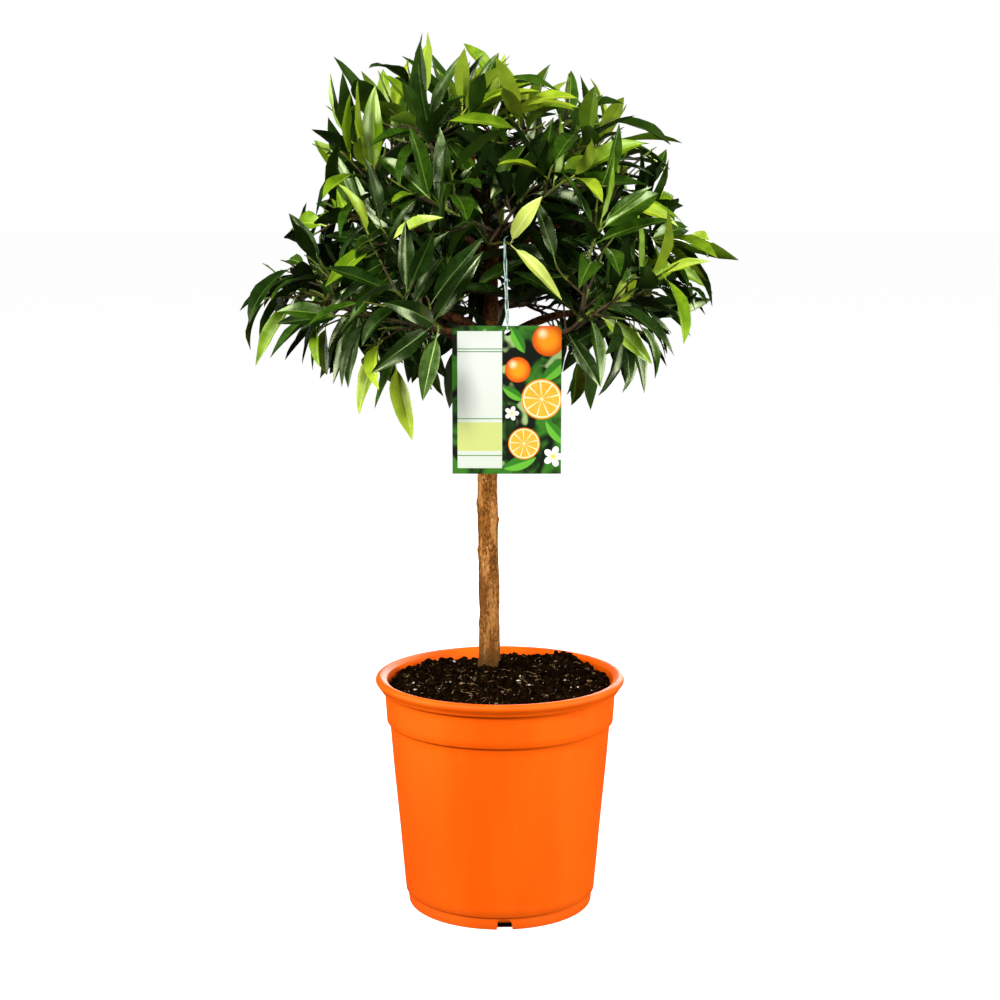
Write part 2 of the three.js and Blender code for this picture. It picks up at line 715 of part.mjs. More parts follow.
function makeLabelCard() {
  const { left, top, width, height, hole } = LABEL;
  const corners = [[left, top - height], [left + width, top - height], [left + width, top], [left, top]];
  const shape = new THREE.Shape(corners.map(([x, z]) => new THREE.Vector2(x, z)));
  shape.holes.push(new THREE.Path().absarc(hole[0], hole[1], LABEL.holeRadius, 0, Math.PI * 2, true));
  const depth = LABEL.thickness;
  const card = new THREE.ExtrudeGeometry(shape, { depth, bevelEnabled: false, curveSegments: 7 });
  return solidOf(card.rotateX(Math.PI / 2).translate(0, LABEL.pivot[1] + depth / 2, 0));
}

// The loop is a ring drawn out long. It goes over the twig and through the card's hole, and its two
// strands are twisted a little halfway down.
function makeLabelLoop() {
  const { halfWidth: h, arcSteps, strandSteps } = LOOP;
  const [topX, y, topZ] = LABEL.pivot;
  const footZ = LABEL.hole[1] + LABEL.holeRadius - TOUCHING_GAP - LOOP.radius + h;
  const route = [];
  for (const [turn, from, to] of [[0, topZ, footZ], [Math.PI, footZ, topZ]]) {
    for (let i = 0; i < arcSteps; i++) {
      const a = turn + (Math.PI * i) / arcSteps;
      route.push({ across: h * Math.cos(a), z: from + h * Math.sin(a), out: [Math.cos(a), Math.sin(a)] });
    }
    const out = [-Math.cos(turn), 0];
    for (let i = 0; i < strandSteps; i++) {
      route.push({ across: h * out[0], z: mix(from, to, i / strandSteps), out });
    }
  }
  const geometry = new THREE.TorusGeometry(1, 0.5, LOOP.sides, route.length);
  const place = geometry.attributes.position;
  for (let i = 0; i < place.count; i++) {
    const [a, b] = [place.getX(i), place.getY(i)];
    const ring = Math.round((Math.atan2(b, a) / (2 * Math.PI) + 1) * route.length) % route.length;
    const { across, z, out } = route[ring];
    const away = (Math.hypot(a, b) - 1) * 2 * LOOP.radius;
    const rise = clamp((z - footZ) / (topZ - footZ), 0, 1);
    const twist = radians(LOOP.twist) * Math.sin(Math.PI * rise);
    const [u, v] = [across + away * out[0], place.getZ(i) * 2 * LOOP.radius];
    place.setXYZ(
      i,
      mix(LABEL.hole[0], topX, rise) + u * Math.sin(twist) + v * Math.cos(twist),
      y + u * Math.cos(twist) - v * Math.sin(twist),
      z + away * out[1],
    );
  }
  return solidOf(geometry);
}

// Assembly

const FINISH = {
  pot: { color: 0xf26a12, roughness: 0.42, metalness: 0 },
  soil: { color: 0x1f1713, roughness: 1, metalness: 0 },
  bark: { color: 0x8d6239, roughness: 0.85, metalness: 0 },
  youngBark: { color: 0x5b4428, roughness: 0.85, metalness: 0 },
  leaf: { color: 0x2f5a1e, roughness: 0.35, metalness: 0 },
  label: { color: 0xe7e8d2, roughness: 0.5, metalness: 0 },
  string: { color: 0xbfe0d0, roughness: 0.4, metalness: 0 },
};

const tree = new THREE.Group();
const [container, limbs, crown, label] = ['container', 'limbs', 'crown', 'label'].map((name) => {
  const group = new THREE.Group();
  group.name = name;
  tree.add(group);
  return group;
});
label.position.set(...LABEL.pivot);

// A part's geometry is made where it stands, and kept in the frame of its group.
function addPart(group, name, solid, finish) {
  const { x, y, z } = group.position;
  const geometry = geometryOf(solid).translate(-x, -y, -z);
  const mesh = new THREE.Mesh(geometry, new THREE.MeshStandardMaterial(FINISH[finish]));
  mesh.name = name;
  group.add(mesh);
}

const trunkWide = makeTrunk(LIMB_CLEARANCE);
addPart(container, 'pot', makePot(), 'pot');
addPart(container, 'soil', makeSoil(trunkWide), 'soil');
addPart(limbs, 'trunk', makeTrunk(0), 'bark');
addPart(limbs, 'leader', largest(leaderLimb.solid().subtract(trunkWide)), 'youngBark');

// Each bough is cut clear of the stem, of the leader and of the boughs before it.
const boughMasses = tierMasses();
const limbsWide = [trunkWide, leaderLimb.solid(LIMB_CLEARANCE)];
for (const { name, bough } of boughMasses) {
  const cut = limbsWide.reduce((left, other) => left.subtract(other), bough.solid());
  addPart(limbs, `bough_${name}`, largest(cut), 'youngBark');
  limbsWide.push(bough.solid(LIMB_CLEARANCE));
}

const masses = [...boughMasses, heartMass()];
makeSpaces(masses);
const walls = [...limbsWide.flatMap((solid) => facesOf(geometryOf(solid), null)), ...labelRoom()];
const shoots = [...furthestShoots(), ...SHELLS.flatMap(shellShoots)];
for (const mass of masses) {
  const own = shoots.filter((shoot) => nearestMass(masses, shoot.tip) === mass);
  addPart(crown, `foliage_${mass.name}`, growMass(mass, own, walls), 'leaf');
}

addPart(label, 'label_card', makeLabelCard(), 'label');
addPart(label, 'label_loop', makeLabelLoop(), 'string');

export default tree;
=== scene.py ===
"""A small standard tree in an orange nursery pot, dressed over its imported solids.

The crown grows by the rule of the part's source, carried on to finer twigs and to leaves of life
size. What grows is worked out in millimetres, and every mesh is in metres, +Z up, front to -Y.
"""

import math
from types import SimpleNamespace as Record
from types import SimpleNamespace as Sizes

import bmesh
import bpy
import numpy as np
from mathutils import Matrix, Vector, noise


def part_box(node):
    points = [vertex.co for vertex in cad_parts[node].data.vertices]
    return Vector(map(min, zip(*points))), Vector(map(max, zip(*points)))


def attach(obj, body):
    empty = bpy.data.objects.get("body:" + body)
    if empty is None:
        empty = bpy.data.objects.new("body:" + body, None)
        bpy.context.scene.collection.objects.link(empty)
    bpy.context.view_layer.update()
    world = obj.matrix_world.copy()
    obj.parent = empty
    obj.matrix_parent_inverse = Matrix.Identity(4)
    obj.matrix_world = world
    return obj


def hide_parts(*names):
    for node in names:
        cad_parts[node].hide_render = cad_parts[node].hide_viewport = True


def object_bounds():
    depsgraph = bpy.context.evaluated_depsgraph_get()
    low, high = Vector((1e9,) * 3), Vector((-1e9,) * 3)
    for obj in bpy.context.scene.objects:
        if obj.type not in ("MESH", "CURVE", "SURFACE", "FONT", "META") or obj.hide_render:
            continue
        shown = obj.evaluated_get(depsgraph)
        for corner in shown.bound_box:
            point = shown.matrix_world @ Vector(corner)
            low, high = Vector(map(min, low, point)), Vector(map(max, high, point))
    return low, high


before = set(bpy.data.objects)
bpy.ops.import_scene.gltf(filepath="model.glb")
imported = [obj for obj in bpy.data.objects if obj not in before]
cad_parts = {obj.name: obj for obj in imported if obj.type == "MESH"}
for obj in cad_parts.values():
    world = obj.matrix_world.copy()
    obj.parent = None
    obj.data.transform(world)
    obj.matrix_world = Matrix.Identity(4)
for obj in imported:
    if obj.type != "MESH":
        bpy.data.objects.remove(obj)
cad_low, cad_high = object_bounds()

# Sizes, in millimetres and degrees

MM = 0.001
GOLDEN_ANGLE = math.pi * (3 - math.sqrt(5))
# How far apart the seeds of things that grow in turn are.
SEED_STEP = Sizes(shoot=613, leaf=7, attempt=101, mass=7919, tier=31, twig=977)

TRUNK = Sizes(
    x=-11.5, y=6, foot=231, fork=590, foot_radius=10.4, fork_radius=9.4,
    flare=2.6, flare_height=13, sway=0.9,
)
POT = Sizes(
    top=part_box("pot")[1].z / MM, wall=1.8, foot_radius=92.3, foot_height=12.5, body_radius=95.2,
    shoulder_height=186, shoulder_radius=110.2, neck_low_radius=113.3, neck_top_radius=115.2,
    lip_depth=13, lip_radius=124, lip_foot_radius=119.4, roll_radius=4.2, floor=3, recess=(34, 74),
    recess_depth=1.4, steps=144,
)
NOTCH = Sizes(count=4, first_angle=-87.2, height=8, top_width=13, foot_width=16, start=84, end=100)
SOIL = Sizes(
    edge_height=220, crown=3, mound_radius=36, mound_height=15, lump_height=2.5, lump_length=13,
    slack=0.7, rings=62, steps=150,
)
SOIL_EDGE = POT.neck_low_radius - POT.wall - SOIL.slack
# Heaps of soil against the wall: the direction and spread of each in degrees, and its height.
HEAPS = [(58, 10, 20), (34, 8, 14), (12, 6, 16), (128, 3, 24), (176, 6, 34), (330, 2, 30)]
HEAP_RING = Sizes(radius=96, width=22)
# Old leaf scars on the stem: the height and the side of each.
SCARS = [(283, 190), (357, 175), (388, 350), (405, 185), (446, 20), (520, 250)]
LEADER = Sizes(
    top=752, set_off=1.5, lean_x=-14, lean_y=-6, sway_x=5, sway_y=4, foot_radius=6.4, tip_radius=2.9,
    sunk=6,
)
# Tiers of boughs: the places of their masses of foliage, the height where the first bough leaves
# the stem and the step to the next, and the order in which they leave it.
TIERS = [
    Sizes(name="low", count=6, first_angle=8, reach=146, height=600, start=503, step=15,
          foot_radius=5.4, tip_radius=2.7, rise=0.35, order=(3, 5, 1, 4, 2, 0)),
    Sizes(name="mid", count=5, first_angle=280, reach=112, height=692, start=604, step=13,
          foot_radius=4.4, tip_radius=2.5, rise=0.32, order=(0, 2, 4, 1, 3)),
    Sizes(name="top", count=3, first_angle=215, reach=74, height=772, start=682, step=14,
          foot_radius=3.2, tip_radius=2.3, rise=0.28, order=(0, 1, 2)),
]
# How far a mass strays from its even place in the tier.
SCATTER = Sizes(angle=10, reach=0.08, height=12)
# A bough ends this far short of the middle of its mass, and the stem of the mass runs on past it.
TIP_SHORT = 42
STEM = Sizes(beyond=16, tip_radius=1.8)
# The middle of the leader's own mass.
HEART_HEIGHT = 800
# The crown's dome: distances from the stem's axis and heights, and how far it leans at some heights.
DOME = [
    (76, 584), (116, 572), (158, 584), (184, 618), (172, 655),
    (148, 695), (140, 735), (120, 766), (68, 784), (0, 785),
]
DOME_LEAN = [(572, -0.06), (640, 0.12), (780, -0.06)]
DOME_STEPS = 160
SHELLS = [Sizes(shoots=73, inset=0, seed=153), Sizes(shoots=20, inset=58, seed=977)]
# Shoots whose foremost leaf makes a point of the crown's outline: the leaf's tip, and its way.
FURTHEST = [
    ((-80, -80, 481), (0.25, -0.1, -1)),
    ((-247, -30, 588), (-0.86, -0.1, -0.5)),
    ((226, -20, 656), (1, 0, -0.05)),
    ((-70, -30, 852), (0.1, 0, 1)),
    ((-160, 0, 828), (-0.6, 0, 0.8)),
    ((172, 0, 768), (0.95, 0, 0.2)),
    ((-236, -50, 551), (-0.6, -0.1, -0.8)),
    ((-183, -60, 546), (-0.3, -0.15, -0.95)),
    ((-149, -70, 530), (-0.25, -0.1, -0.95)),
    ((142, -70, 526), (0.3, -0.2, -0.95)),
    ((-133, -85, 504), (-0.3, -0.1, -0.95)),
]
FURTHEST_SPRAY = Sizes(seed=5501, last_leaf=72, size=0.95)
SHOOT = Sizes(foot_radius=1.9, tip_radius=1.0, turn_jitter=0.25, inset_jitter=9, axis_jitter=0.5)

# Finer growth, which the source leaves out

SIDE_TWIG = Sizes(starts=(0.3, 0.54, 0.76), open=46, length=44, foot_radius=1.2, tip_radius=0.8)
TWIG_MESH = Sizes(rows=8, brown_rows=4, sides=6)
# How finely bark is meshed: faces round each limb, and along it.
BARK_MESH = Sizes(trunk=(56, 420), leader=(28, 150), bough=(20, 60))
SPRAY = Sizes(leaves=8, side_leaves=5, leafy=46, open_first=14, open_last=74, tries=9, droop=0.8)
LEAF = Sizes(
    length=80, spread=0.17, ratio=0.262, stations=10, petiole=0.1, stalk=0.75, rib=0.75, thickness=0.45,
    arch=48, fold=26, wave=0.8, clearance=6.4, inner_clearance=4.4,
)
# Where leaves are tested for room: shares of the midrib, and of the width to each side there.
LEAF_TESTS = Sizes(
    shares=(0.28, 0.42, 0.56, 0.7, 0.84, 0.98), halves=(0.26, 0.4, 0.42, 0.36, 0.22, 0.0),
)
# New leaves are tested against the points of what has grown within a short way of them.
GROWTH = Sizes(room=60000, near=16, trunk_points=60, leader_points=30, bough_points=16, twig_points=5)
# Below its top the low crown is looser, and its leaves hang and face outwards more.
LOW_CROWN = Sizes(top=630, depth=60, clearance=8.5, outwards=0.8)
# Above its foot the high crown's sprays are more closed.
HIGH_CROWN = Sizes(foot=730, depth=60, closing=0.3)
# From this foot upwards more and more sprays are given brighter tints: painted light on the higher crown,
# and painted shade below.
BRIGHT_CROWN = Sizes(foot=560, depth=230)
# How far a leaf's tip may stand out of the dome: from least to most, and more where the dome faces
# down or up. Past the solids' box and a foremost leaf's own end no leaf goes further than these.
REACH = Sizes(least=4, most=46, hanging=40, standing=30, box=6, beyond=4)
# The crown's outline, as the camera sees it on the upright plane through the origin: heights, and
# how far the crown goes to the left and to the right there.
SIDES = [
    (470, -92, -60), (494, -142, 80), (518, -158, 146), (536, -196, 162), (546, -248, 170),
    (566, -250, 186), (590, -256, 212), (614, -240, 208), (640, -214, 204), (652, -212, 236),
    (662, -210, 204), (686, -206, 188), (710, -174, 164), (734, -174, 164), (758, -186, 178),
    (782, -174, 130), (805, -164, 120), (832, -160, 34), (842, -104, -16), (856, -92, -48),
]
# A patch of sky shows over the label, in the same plane: its middle, and its half width and height.
SKY = Sizes(x=27, z=580, half_width=25, half_height=17)
# The crown is open before the twig that carries the label: across, up, and in front of y.
WINDOW = Sizes(x=(-12, 58), z=(606, 716), y=-112)
# Shoots whose tips are nearer than this to one of these places carry young, bright leaves.
YOUNG_REACH = 34
YOUNG_SPRAYS = [
    (-72, -30, 782), (-50, -70, 790), (-22, -110, 745), (25, -70, 790), (60, -60, 800),
    (-150, -60, 770), (-235, -30, 600), (-97, -74, 548), (120, -110, 700), (165, -60, 640),
    (-130, -100, 690),
]
CROWN_CENTRE = (TRUNK.x, TRUNK.y, 620)
# The few tiny green fruits hang from the twigs nearest to these places.
FRUITLETS = [
    (-82, -112, 570), (-84, -108, 556), (-134, -96, 566), (-70, -120, 548), (104, -118, 566),
    (-60, 118, 580),
]
FRUITLET = Sizes(
    radius=3.9, stalk=7, lean=1.6, stalk_shares=(0, 0.4, 0.85, 1), stalk_radii=(0.7, 0.55, 0.6, 1.3),
    stalk_sides=5,
)

# Loose things on the soil: how many, their least and greatest sizes, how flat, and a seed

CRUMBS = Sizes(count=2400, sizes=(0.8, 4.6), flatness=0.75, seed=811)
CHIPS = Sizes(count=420, sizes=(0.6, 2.6), flatness=0.35, seed=92)
GRIT = Sizes(count=170, sizes=(0.5, 1.9), flatness=0.5, seed=77)
FIBRES = Sizes(count=420, lengths=(3, 17), radii=(0.18, 0.42), steps=5, sides=4, seed=4021)
# They keep clear of the stem's axis and of the pot's wall.
LOOSE_ROOM = Sizes(off_stem=12.5, radius=108, fibre_radius=107)
# One crumb in nine and one fibre in four are heaped at the stem's foot: from where and how far out.
STEM_HEAP = Sizes(crumb_step=9, crumbs=(10.5, 19), lift=3.2, fibre_step=4, fibres=(12, 44))

# The label, and the twig that carries it

LABEL = Sizes(
    left=-43.8, width=100, top=585.6, height=136, thickness=0.7, hole=(7, 579.4), hole_radius=3,
    bow=0.9, pivot=(4, -111, 661),
)
LABEL_MIDDLE = LABEL.left + LABEL.width / 2
# No leaf enters the room that the label swings through, in degrees, with a margin round it.
SWING = Sizes(forward=65, back=14, margin=9, from_pivot=6)
# The printed design, in widths of the card from its top left corner: places, sizes and turns.
LABEL_LEAVES = [
    (0.60, 0.13, 0.20, 0.5), (0.94, 0.40, 0.24, 2.3), (0.56, 0.62, 0.18, 1.0), (0.62, 1.26, 0.24, 1.9),
    (0.95, 0.98, 0.22, 0.7),
]
LABEL_FRUITS = [(0.88, 0.13, 0.15), (0.60, 0.40, 0.12)]
LABEL_SLICES = [(0.82, 0.67, 0.19), (0.66, 1.08, 0.15)]
LABEL_BLOSSOMS = [(0.93, 1.20, 0.10), (0.545, 0.80, 0.07)]
LABEL_PANEL = Sizes(left=0.045, right=0.46, top=0.045, foot=1.31, soft=0.005)
LABEL_BAND = (0.88, 1.15)
LABEL_LINES = (0.21, 0.235, 0.85, 1.19)
LOOP = Sizes(
    radius=0.52, half_width=2.4, twist=55, turns=9, apart=0.3, narrowing=0.55, dip=0.9, steps=520, sides=7,
)
LOOSE_END = Sizes(
    foot=(-0.3, -LOOP.half_width, 0.5), way=((-0.8, -0.5, 2.4), (0.8, -1, 4), (3.4, -1.2, 5)), steps=10,
)
HANGER = Sizes(
    mass="mid_1", radius=1.4, start=0.45, before=(-13, 3, -2), beyond=(6, -0.5, -2.5),
    leaf_share=0.98, leaf_up=(-0.2, -0.6, 0.7), leaf_room=3,
)
# The twig's two bright leaves: the way of each, its length, and its breadth against a usual one.
HANGER_LEAVES = [((19, -12, 46), 53, 1.2), ((36, -16, -31), 70, 0.8)]

# The studio: area lights in metres and watts, with their places, aims, sizes and powers

CAMERA = Sizes(place=(0, -1780.8, 680.0), pitch=0.1515, focal=1827.2, frame=1000)
FLOOR = Sizes(radius=120000, glow=0.97)
AMBIENT = 0.034
LIGHTS = {
    "key": ((-1.2, -2.2, 2.0), (0, 0, 0.55), (0.8, 0.8), 89),
    "fill": ((1.5, -2.1, 1.2), (0, 0, 0.4), (0.8, 1.0), 48),
    "left": ((-2.2, -0.35, 0.9), (0, 0, 0.45), (0.7, 1.6), 52),
    "right": ((2.2, -0.35, 0.9), (0, 0, 0.45), (0.7, 1.6), 46),
    "back": ((0.6, 2.2, 0.9), (0, 0, 0.45), (1.2, 1.3), 60),
}


# Small helpers


def vec(*numbers):
    return np.array(numbers, float)


def unit(v):
    return v / np.linalg.norm(v)


def mix(a, b, share):
    return a + (b - a) * share


def clamped(share):
    return min(max(share, 0), 1)


def outward(angle):
    return vec(math.cos(angle), math.sin(angle), 0)


def bezier(a, b, c, d):
    def point(s):
        r = 1 - s
        return a * r**3 + b * (3 * r * r * s) + c * (3 * r * s * s) + d * s**3
    return point


def seeded(seed):
    """The source's small generator of random numbers: the same seed gives the same tree."""
    state = seed & 0xFFFFFFFF

    def draw():
        nonlocal state
        state = (state + 0x6D2B79F5) & 0xFFFFFFFF
        t = state
        t = ((t ^ (t >> 15)) * (t | 1)) & 0xFFFFFFFF
        t ^= (t + (t ^ (t >> 7)) * (t | 61)) & 0xFFFFFFFF
        return ((t ^ (t >> 14)) & 0xFFFFFFFF) / 4294967296

    return draw


def smooth(mesh, angle):
    for polygon in mesh.polygons:
        polygon.use_smooth = True
    mesh.set_sharp_from_angle(angle=math.radians(angle))


def settle(mesh, name, materials):
    """Makes an object of a finished mesh, at the origin, with its materials."""
    piece = bpy.data.objects.new(name, mesh)
    bpy.context.scene.collection.objects.link(piece)
    for material in materials:
        mesh.materials.append(material)
    return piece


def finished(bm, name, materials, smooth_angle=40):
    """Turns a bmesh in millimetres into a piece in metres."""
    bmesh.ops.scale(bm, vec=(MM, MM, MM), verts=bm.verts)
    mesh = bpy.data.meshes.new(name)
    bm.to_mesh(mesh)
    bm.free()
    smooth(mesh, smooth_angle)
    return settle(mesh, name, materials)


def cut(piece, cutter):
    """Takes one closed piece away from another, and removes it."""
    modifier = piece.modifiers.new("cut", "BOOLEAN")
    modifier.object = cutter
    modifier.operation = "DIFFERENCE"
    modifier.solver = "EXACT"
    depsgraph = bpy.context.evaluated_depsgraph_get()
    mesh = bpy.data.meshes.new_from_object(piece.evaluated_get(depsgraph))
    piece.modifiers.clear()
    piece.data = mesh
    bpy.data.objects.remove(cutter)


def turned(points, angle):
    """Points turned about the vertical axis."""
    cosine, sine = math.cos(angle), math.sin(angle)
    return points @ np.array([[cosine, sine, 0], [-sine, cosine, 0], [0, 0, 1]])


def spokes(side, other, sides):
    """Directions round each ring of a tube, from the two directions across it."""
    angles = (np.arange(sides) * 2 * math.pi / sides)[None, :, None]
    return np.cos(angles) * side[:, None] + np.sin(angles) * other[:, None]


def tube_pattern(steps, sides, closed=False):
    """Faces between the rings of a tube, which has two end faces unless it closes on itself."""
    faces = []
    for row in range(steps):
        onward = -row * sides if closed and row == steps - 1 else sides
        for k in range(sides):
            a, b = row * sides + k, row * sides + (k + 1) % sides
            faces.append((b, a, a + onward, b + onward))
    if not closed:
        faces.append(tuple(range(sides)))
        faces.append(tuple(reversed(range(steps * sides, (steps + 1) * sides))))
    return faces


def ball_pattern(create, **divisions):
    """Points and faces of a ball of radius 1."""
    bm = bmesh.new()
    create(bm, radius=1, **divisions)
    points = np.array([vert.co for vert in bm.verts])
    faces = [tuple(vert.index for vert in face.verts) for face in bm.faces]
    bm.free()
    return points, faces


class Heap:
    """Many small closed shapes, gathered into one mesh."""

    def __init__(self):
        self.points = []
        self.faces = []
        self.slots = []
        self.count = 0

    def add(self, points, faces, slots=0):
        points = np.asarray(points, float).reshape(-1, 3)
        self.points.append(points)
        self.faces += [tuple(i + self.count for i in face) for face in faces]
        self.slots += list(slots) if np.ndim(slots) else [slots] * len(faces)
        self.count += len(points)

    def piece(self, name, materials, smooth_angle=50):
        mesh = bpy.data.meshes.new(name)
        mesh.from_pydata((np.concatenate(self.points) * MM).tolist(), [], self.faces)
        mesh.polygons.foreach_set("material_index", self.slots)
        smooth(mesh, smooth_angle)
        return settle(mesh, name, materials)


# Shader maths


class Value:
    """A socket on which Python's arithmetic adds Math nodes."""

    def __init__(self, finish, socket):
        self.finish = finish
        self.socket = socket

    def maths(self, operation, *others):
        return self.finish.node(
            "ShaderNodeMath", {"operation": operation}, dict(enumerate((self, *others)))
        )

    def flipped(self, operation, other):
        return self.finish.node("ShaderNodeMath", {"operation": operation}, {0: other, 1: self})

    def __add__(self, other):
        return self.maths("ADD", other)

    def __sub__(self, other):
        return self.maths("SUBTRACT", other)

    def __mul__(self, other):
        return self.maths("MULTIPLY", other)

    def __truediv__(self, other):
        return self.maths("DIVIDE", other)

    def __pow__(self, other):
        return self.maths("POWER", other)

    def __rsub__(self, other):
        return self.flipped("SUBTRACT", other)

    def __abs__(self):
        return self.maths("ABSOLUTE")

    __radd__ = __add__
    __rmul__ = __mul__

    def most(self, other):
        return self.maths("MAXIMUM", other)

    def rise(self, low, high, to_low=0, to_high=1):
        """A smooth step from to_low at low to to_high at high."""
        return self.finish.node(
            "ShaderNodeMapRange", {"interpolation_type": "SMOOTHSTEP"},
            {0: self, 1: low, 2: high, 3: to_low, 4: to_high},
        )


def socket_name(key):
    """The shader's own name of a socket, such as Specular IOR Level for specular_ior_level."""
    return key.replace("_", " ").title().replace("Ior", "IOR")


class Finish:
    """A material on object coordinates in millimetres, written as expressions."""

    def __init__(self, name, **steady):
        self.material = bpy.data.materials.new(name)
        self.material.use_nodes = True
        self.tree = self.material.node_tree
        self.shader = self.tree.nodes["Principled BSDF"]
        for key, value in steady.items():
            self.shader.inputs[socket_name(key)].default_value = value
        where = self.node("ShaderNodeTexCoord", output="Object")
        self.place = self.vector("SCALE", where, scale=1 / MM)
        axes = self.tree.nodes.new("ShaderNodeSeparateXYZ")
        self.tree.links.new(self.place.socket, axes.inputs[0])
        self.x, self.y, self.z = (Value(self, axes.outputs[i]) for i in range(3))

    def node(self, kind, settings=None, sockets=None, output=0):
        made = self.tree.nodes.new(kind)
        for key, value in (settings or {}).items():
            setattr(made, key, value)
        for key, value in (sockets or {}).items():
            if isinstance(value, Value):
                self.tree.links.new(value.socket, made.inputs[key])
            else:
                made.inputs[key].default_value = value
        return Value(self, made.outputs[output])

    def vector(self, operation, one, other=None, scale=None):
        sockets = {0: one}
        if other is not None:
            sockets[1] = other
        if scale is not None:
            sockets["Scale"] = scale
        return self.node("ShaderNodeVectorMath", {"operation": operation}, sockets)

    def stretched(self, x, y, z):
        return self.vector("MULTIPLY", self.place, (x, y, z))

    def noise(self, size, detail=3.0, at=None, rough=0.5, warp=0.0):
        """Noise from 0 to 1 whose features are about size millimetres long."""
        sockets = {"Vector": at or self.place, "Scale": 1 / size, "Detail": detail}
        return self.node("ShaderNodeTexNoise", None, {**sockets, "Roughness": rough, "Distortion": warp})

    def cells(self, size, feature="F1", at=None):
        """The distance from the middle, or the edge, of cells about size millimetres across."""
        sockets = {"Vector": at or self.place, "Scale": 1 / size}
        return self.node("ShaderNodeTexVoronoi", {"feature": feature}, sockets, "Distance")

    def blend(self, share, low, high):
        """Mixes two colours, each a colour or a value."""
        def colour(value):
            return value if isinstance(value, Value) else (*value, 1)

        sockets = {0: share, 6: colour(low), 7: colour(high)}
        return self.node("ShaderNodeMix", {"data_type": "RGBA"}, sockets, 2)

    def bump(self, height, depth):
        """Relief whose height of 1 stands depth millimetres proud."""
        sockets = {"Strength": 1.0, "Distance": depth * MM, "Height": height}
        return self.node("ShaderNodeBump", None, sockets)

    def done(self, **surface):
        for key, value in surface.items():
            self.tree.links.new(value.socket, self.shader.inputs[socket_name(key)])
        return self.material


# Finishes


def pot_finish():
    f = Finish("orange_plastic", specular_ior_level=0.13)
    flow = f.noise(60, 3, f.stretched(1, 1, 0.25))
    grain = f.noise(0.5, 2)
    scuffs = f.noise(7, 5, f.stretched(1, 1, 0.35), 0.7).rise(0.58, 0.75)
    dust = f.z.rise(30, 0) * f.noise(16, 4)
    colour = f.blend(flow.rise(0.3, 0.7), (0.88, 0.097, 0.0005), (0.95, 0.122, 0.001))
    colour = f.blend(scuffs * 0.10, colour, (1.0, 0.26, 0.05))
    colour = f.blend(dust * 0.25, colour, (0.62, 0.16, 0.03))
    rough = 0.46 + 0.1 * flow + 0.14 * scuffs + 0.1 * dust
    height = grain * 0.25 + f.noise(30, 2)
    return f.done(base_color=colour, roughness=rough, normal=f.bump(height, 0.12))


def soil_finish():
    f = Finish("potting_soil", specular_ior_level=0.0)
    clods = f.noise(7, 6, rough=0.65)
    fine = f.noise(1.3, 4, rough=0.7)
    colour = f.blend(clods.rise(0.35, 0.7), (0.0014, 0.0005, 0.0002), (0.013, 0.0064, 0.0024))
    colour = f.blend(fine.rise(0.60, 0.72) * 0.7, colour, (0.10, 0.060, 0.030))
    height = clods + fine * 0.4
    return f.done(base_color=colour, roughness=fine.rise(0, 1, 0.8, 1.0), normal=f.bump(height, 1.8))


def fleck_finish(name, low, high, size):
    f = Finish(name, specular_ior_level=0.2)
    streak = f.noise(size, 4)
    colour = f.blend(streak.rise(0.3, 0.7), low, high)
    return f.done(base_color=colour, roughness=streak.rise(0, 1, 0.75, 0.95), normal=f.bump(streak, 0.3))


def bark_finish(name, ground, light, dark, foot=None):
    """Rough bark: a mottled scaly skin, fine cracks, paler patches, small pores, and a foot that grows
    darker towards the soil.
    """
    f = Finish(name, specular_ior_level=0.16, specular_tint=(1.0, 0.6, 0.25, 1))
    grain = f.noise(1.7, 6, f.stretched(1, 1, 0.5), 0.72)
    scales = f.cells(2.6, at=f.stretched(1, 1, 0.55))
    patches = f.noise(15, 4, f.stretched(1, 1, 0.4))
    cracks = f.noise(1.0, 4, f.stretched(1, 1, 0.16), 0.6)
    pores = f.cells(4.6, at=f.stretched(1, 1, 1.9)).rise(0.14, 0.05)
    streaks = f.noise(7, 3, f.stretched(1, 1, 0.14))
    colour = f.blend(grain.rise(0.36, 0.62), dark, ground)
    colour = f.blend(streaks.rise(0.51, 0.62) * 0.5, colour, light)
    colour = f.blend(streaks.rise(0.47, 0.36) * 0.5, colour, dark)
    colour = f.blend(patches.rise(0.4, 0.66) * grain.rise(0.46, 0.6) * 0.8, colour, light)
    colour = f.blend(cracks.rise(0.48, 0.38) * 0.7, colour, dark)
    colour = f.blend(pores * 0.55, colour, light)
    if foot:
        colour = f.blend((f.z + 60 * patches).rise(430, 300) * 0.45, colour, (0.12, 0.050, 0.012))
        colour = f.blend((f.z + 20 * grain).rise(276, 252) * 0.9, colour, foot)
    height = grain + 0.4 * scales + 0.4 * pores - cracks.rise(0.5, 0.34) * 0.7
    rough = patches.rise(0, 1, 0.5, 0.72)
    return f.done(base_color=colour, roughness=rough, normal=f.bump(height, 0.6))


def twig_finish(name, dark, light, roughness):
    f = Finish(name, specular_ior_level=0.3)
    streak = f.noise(2.2, 4, f.stretched(1, 1, 0.4))
    age = f.noise(18, 3)
    colour = f.blend(streak.rise(0.3, 0.7), dark, light)
    colour = f.blend(age.rise(0.45, 0.62) * 0.6, colour, (0.09, 0.06, 0.018))
    rough = streak.rise(0, 1, roughness - 0.1, roughness + 0.1)
    return f.done(base_color=colour, roughness=rough, normal=f.bump(streak, 0.2))


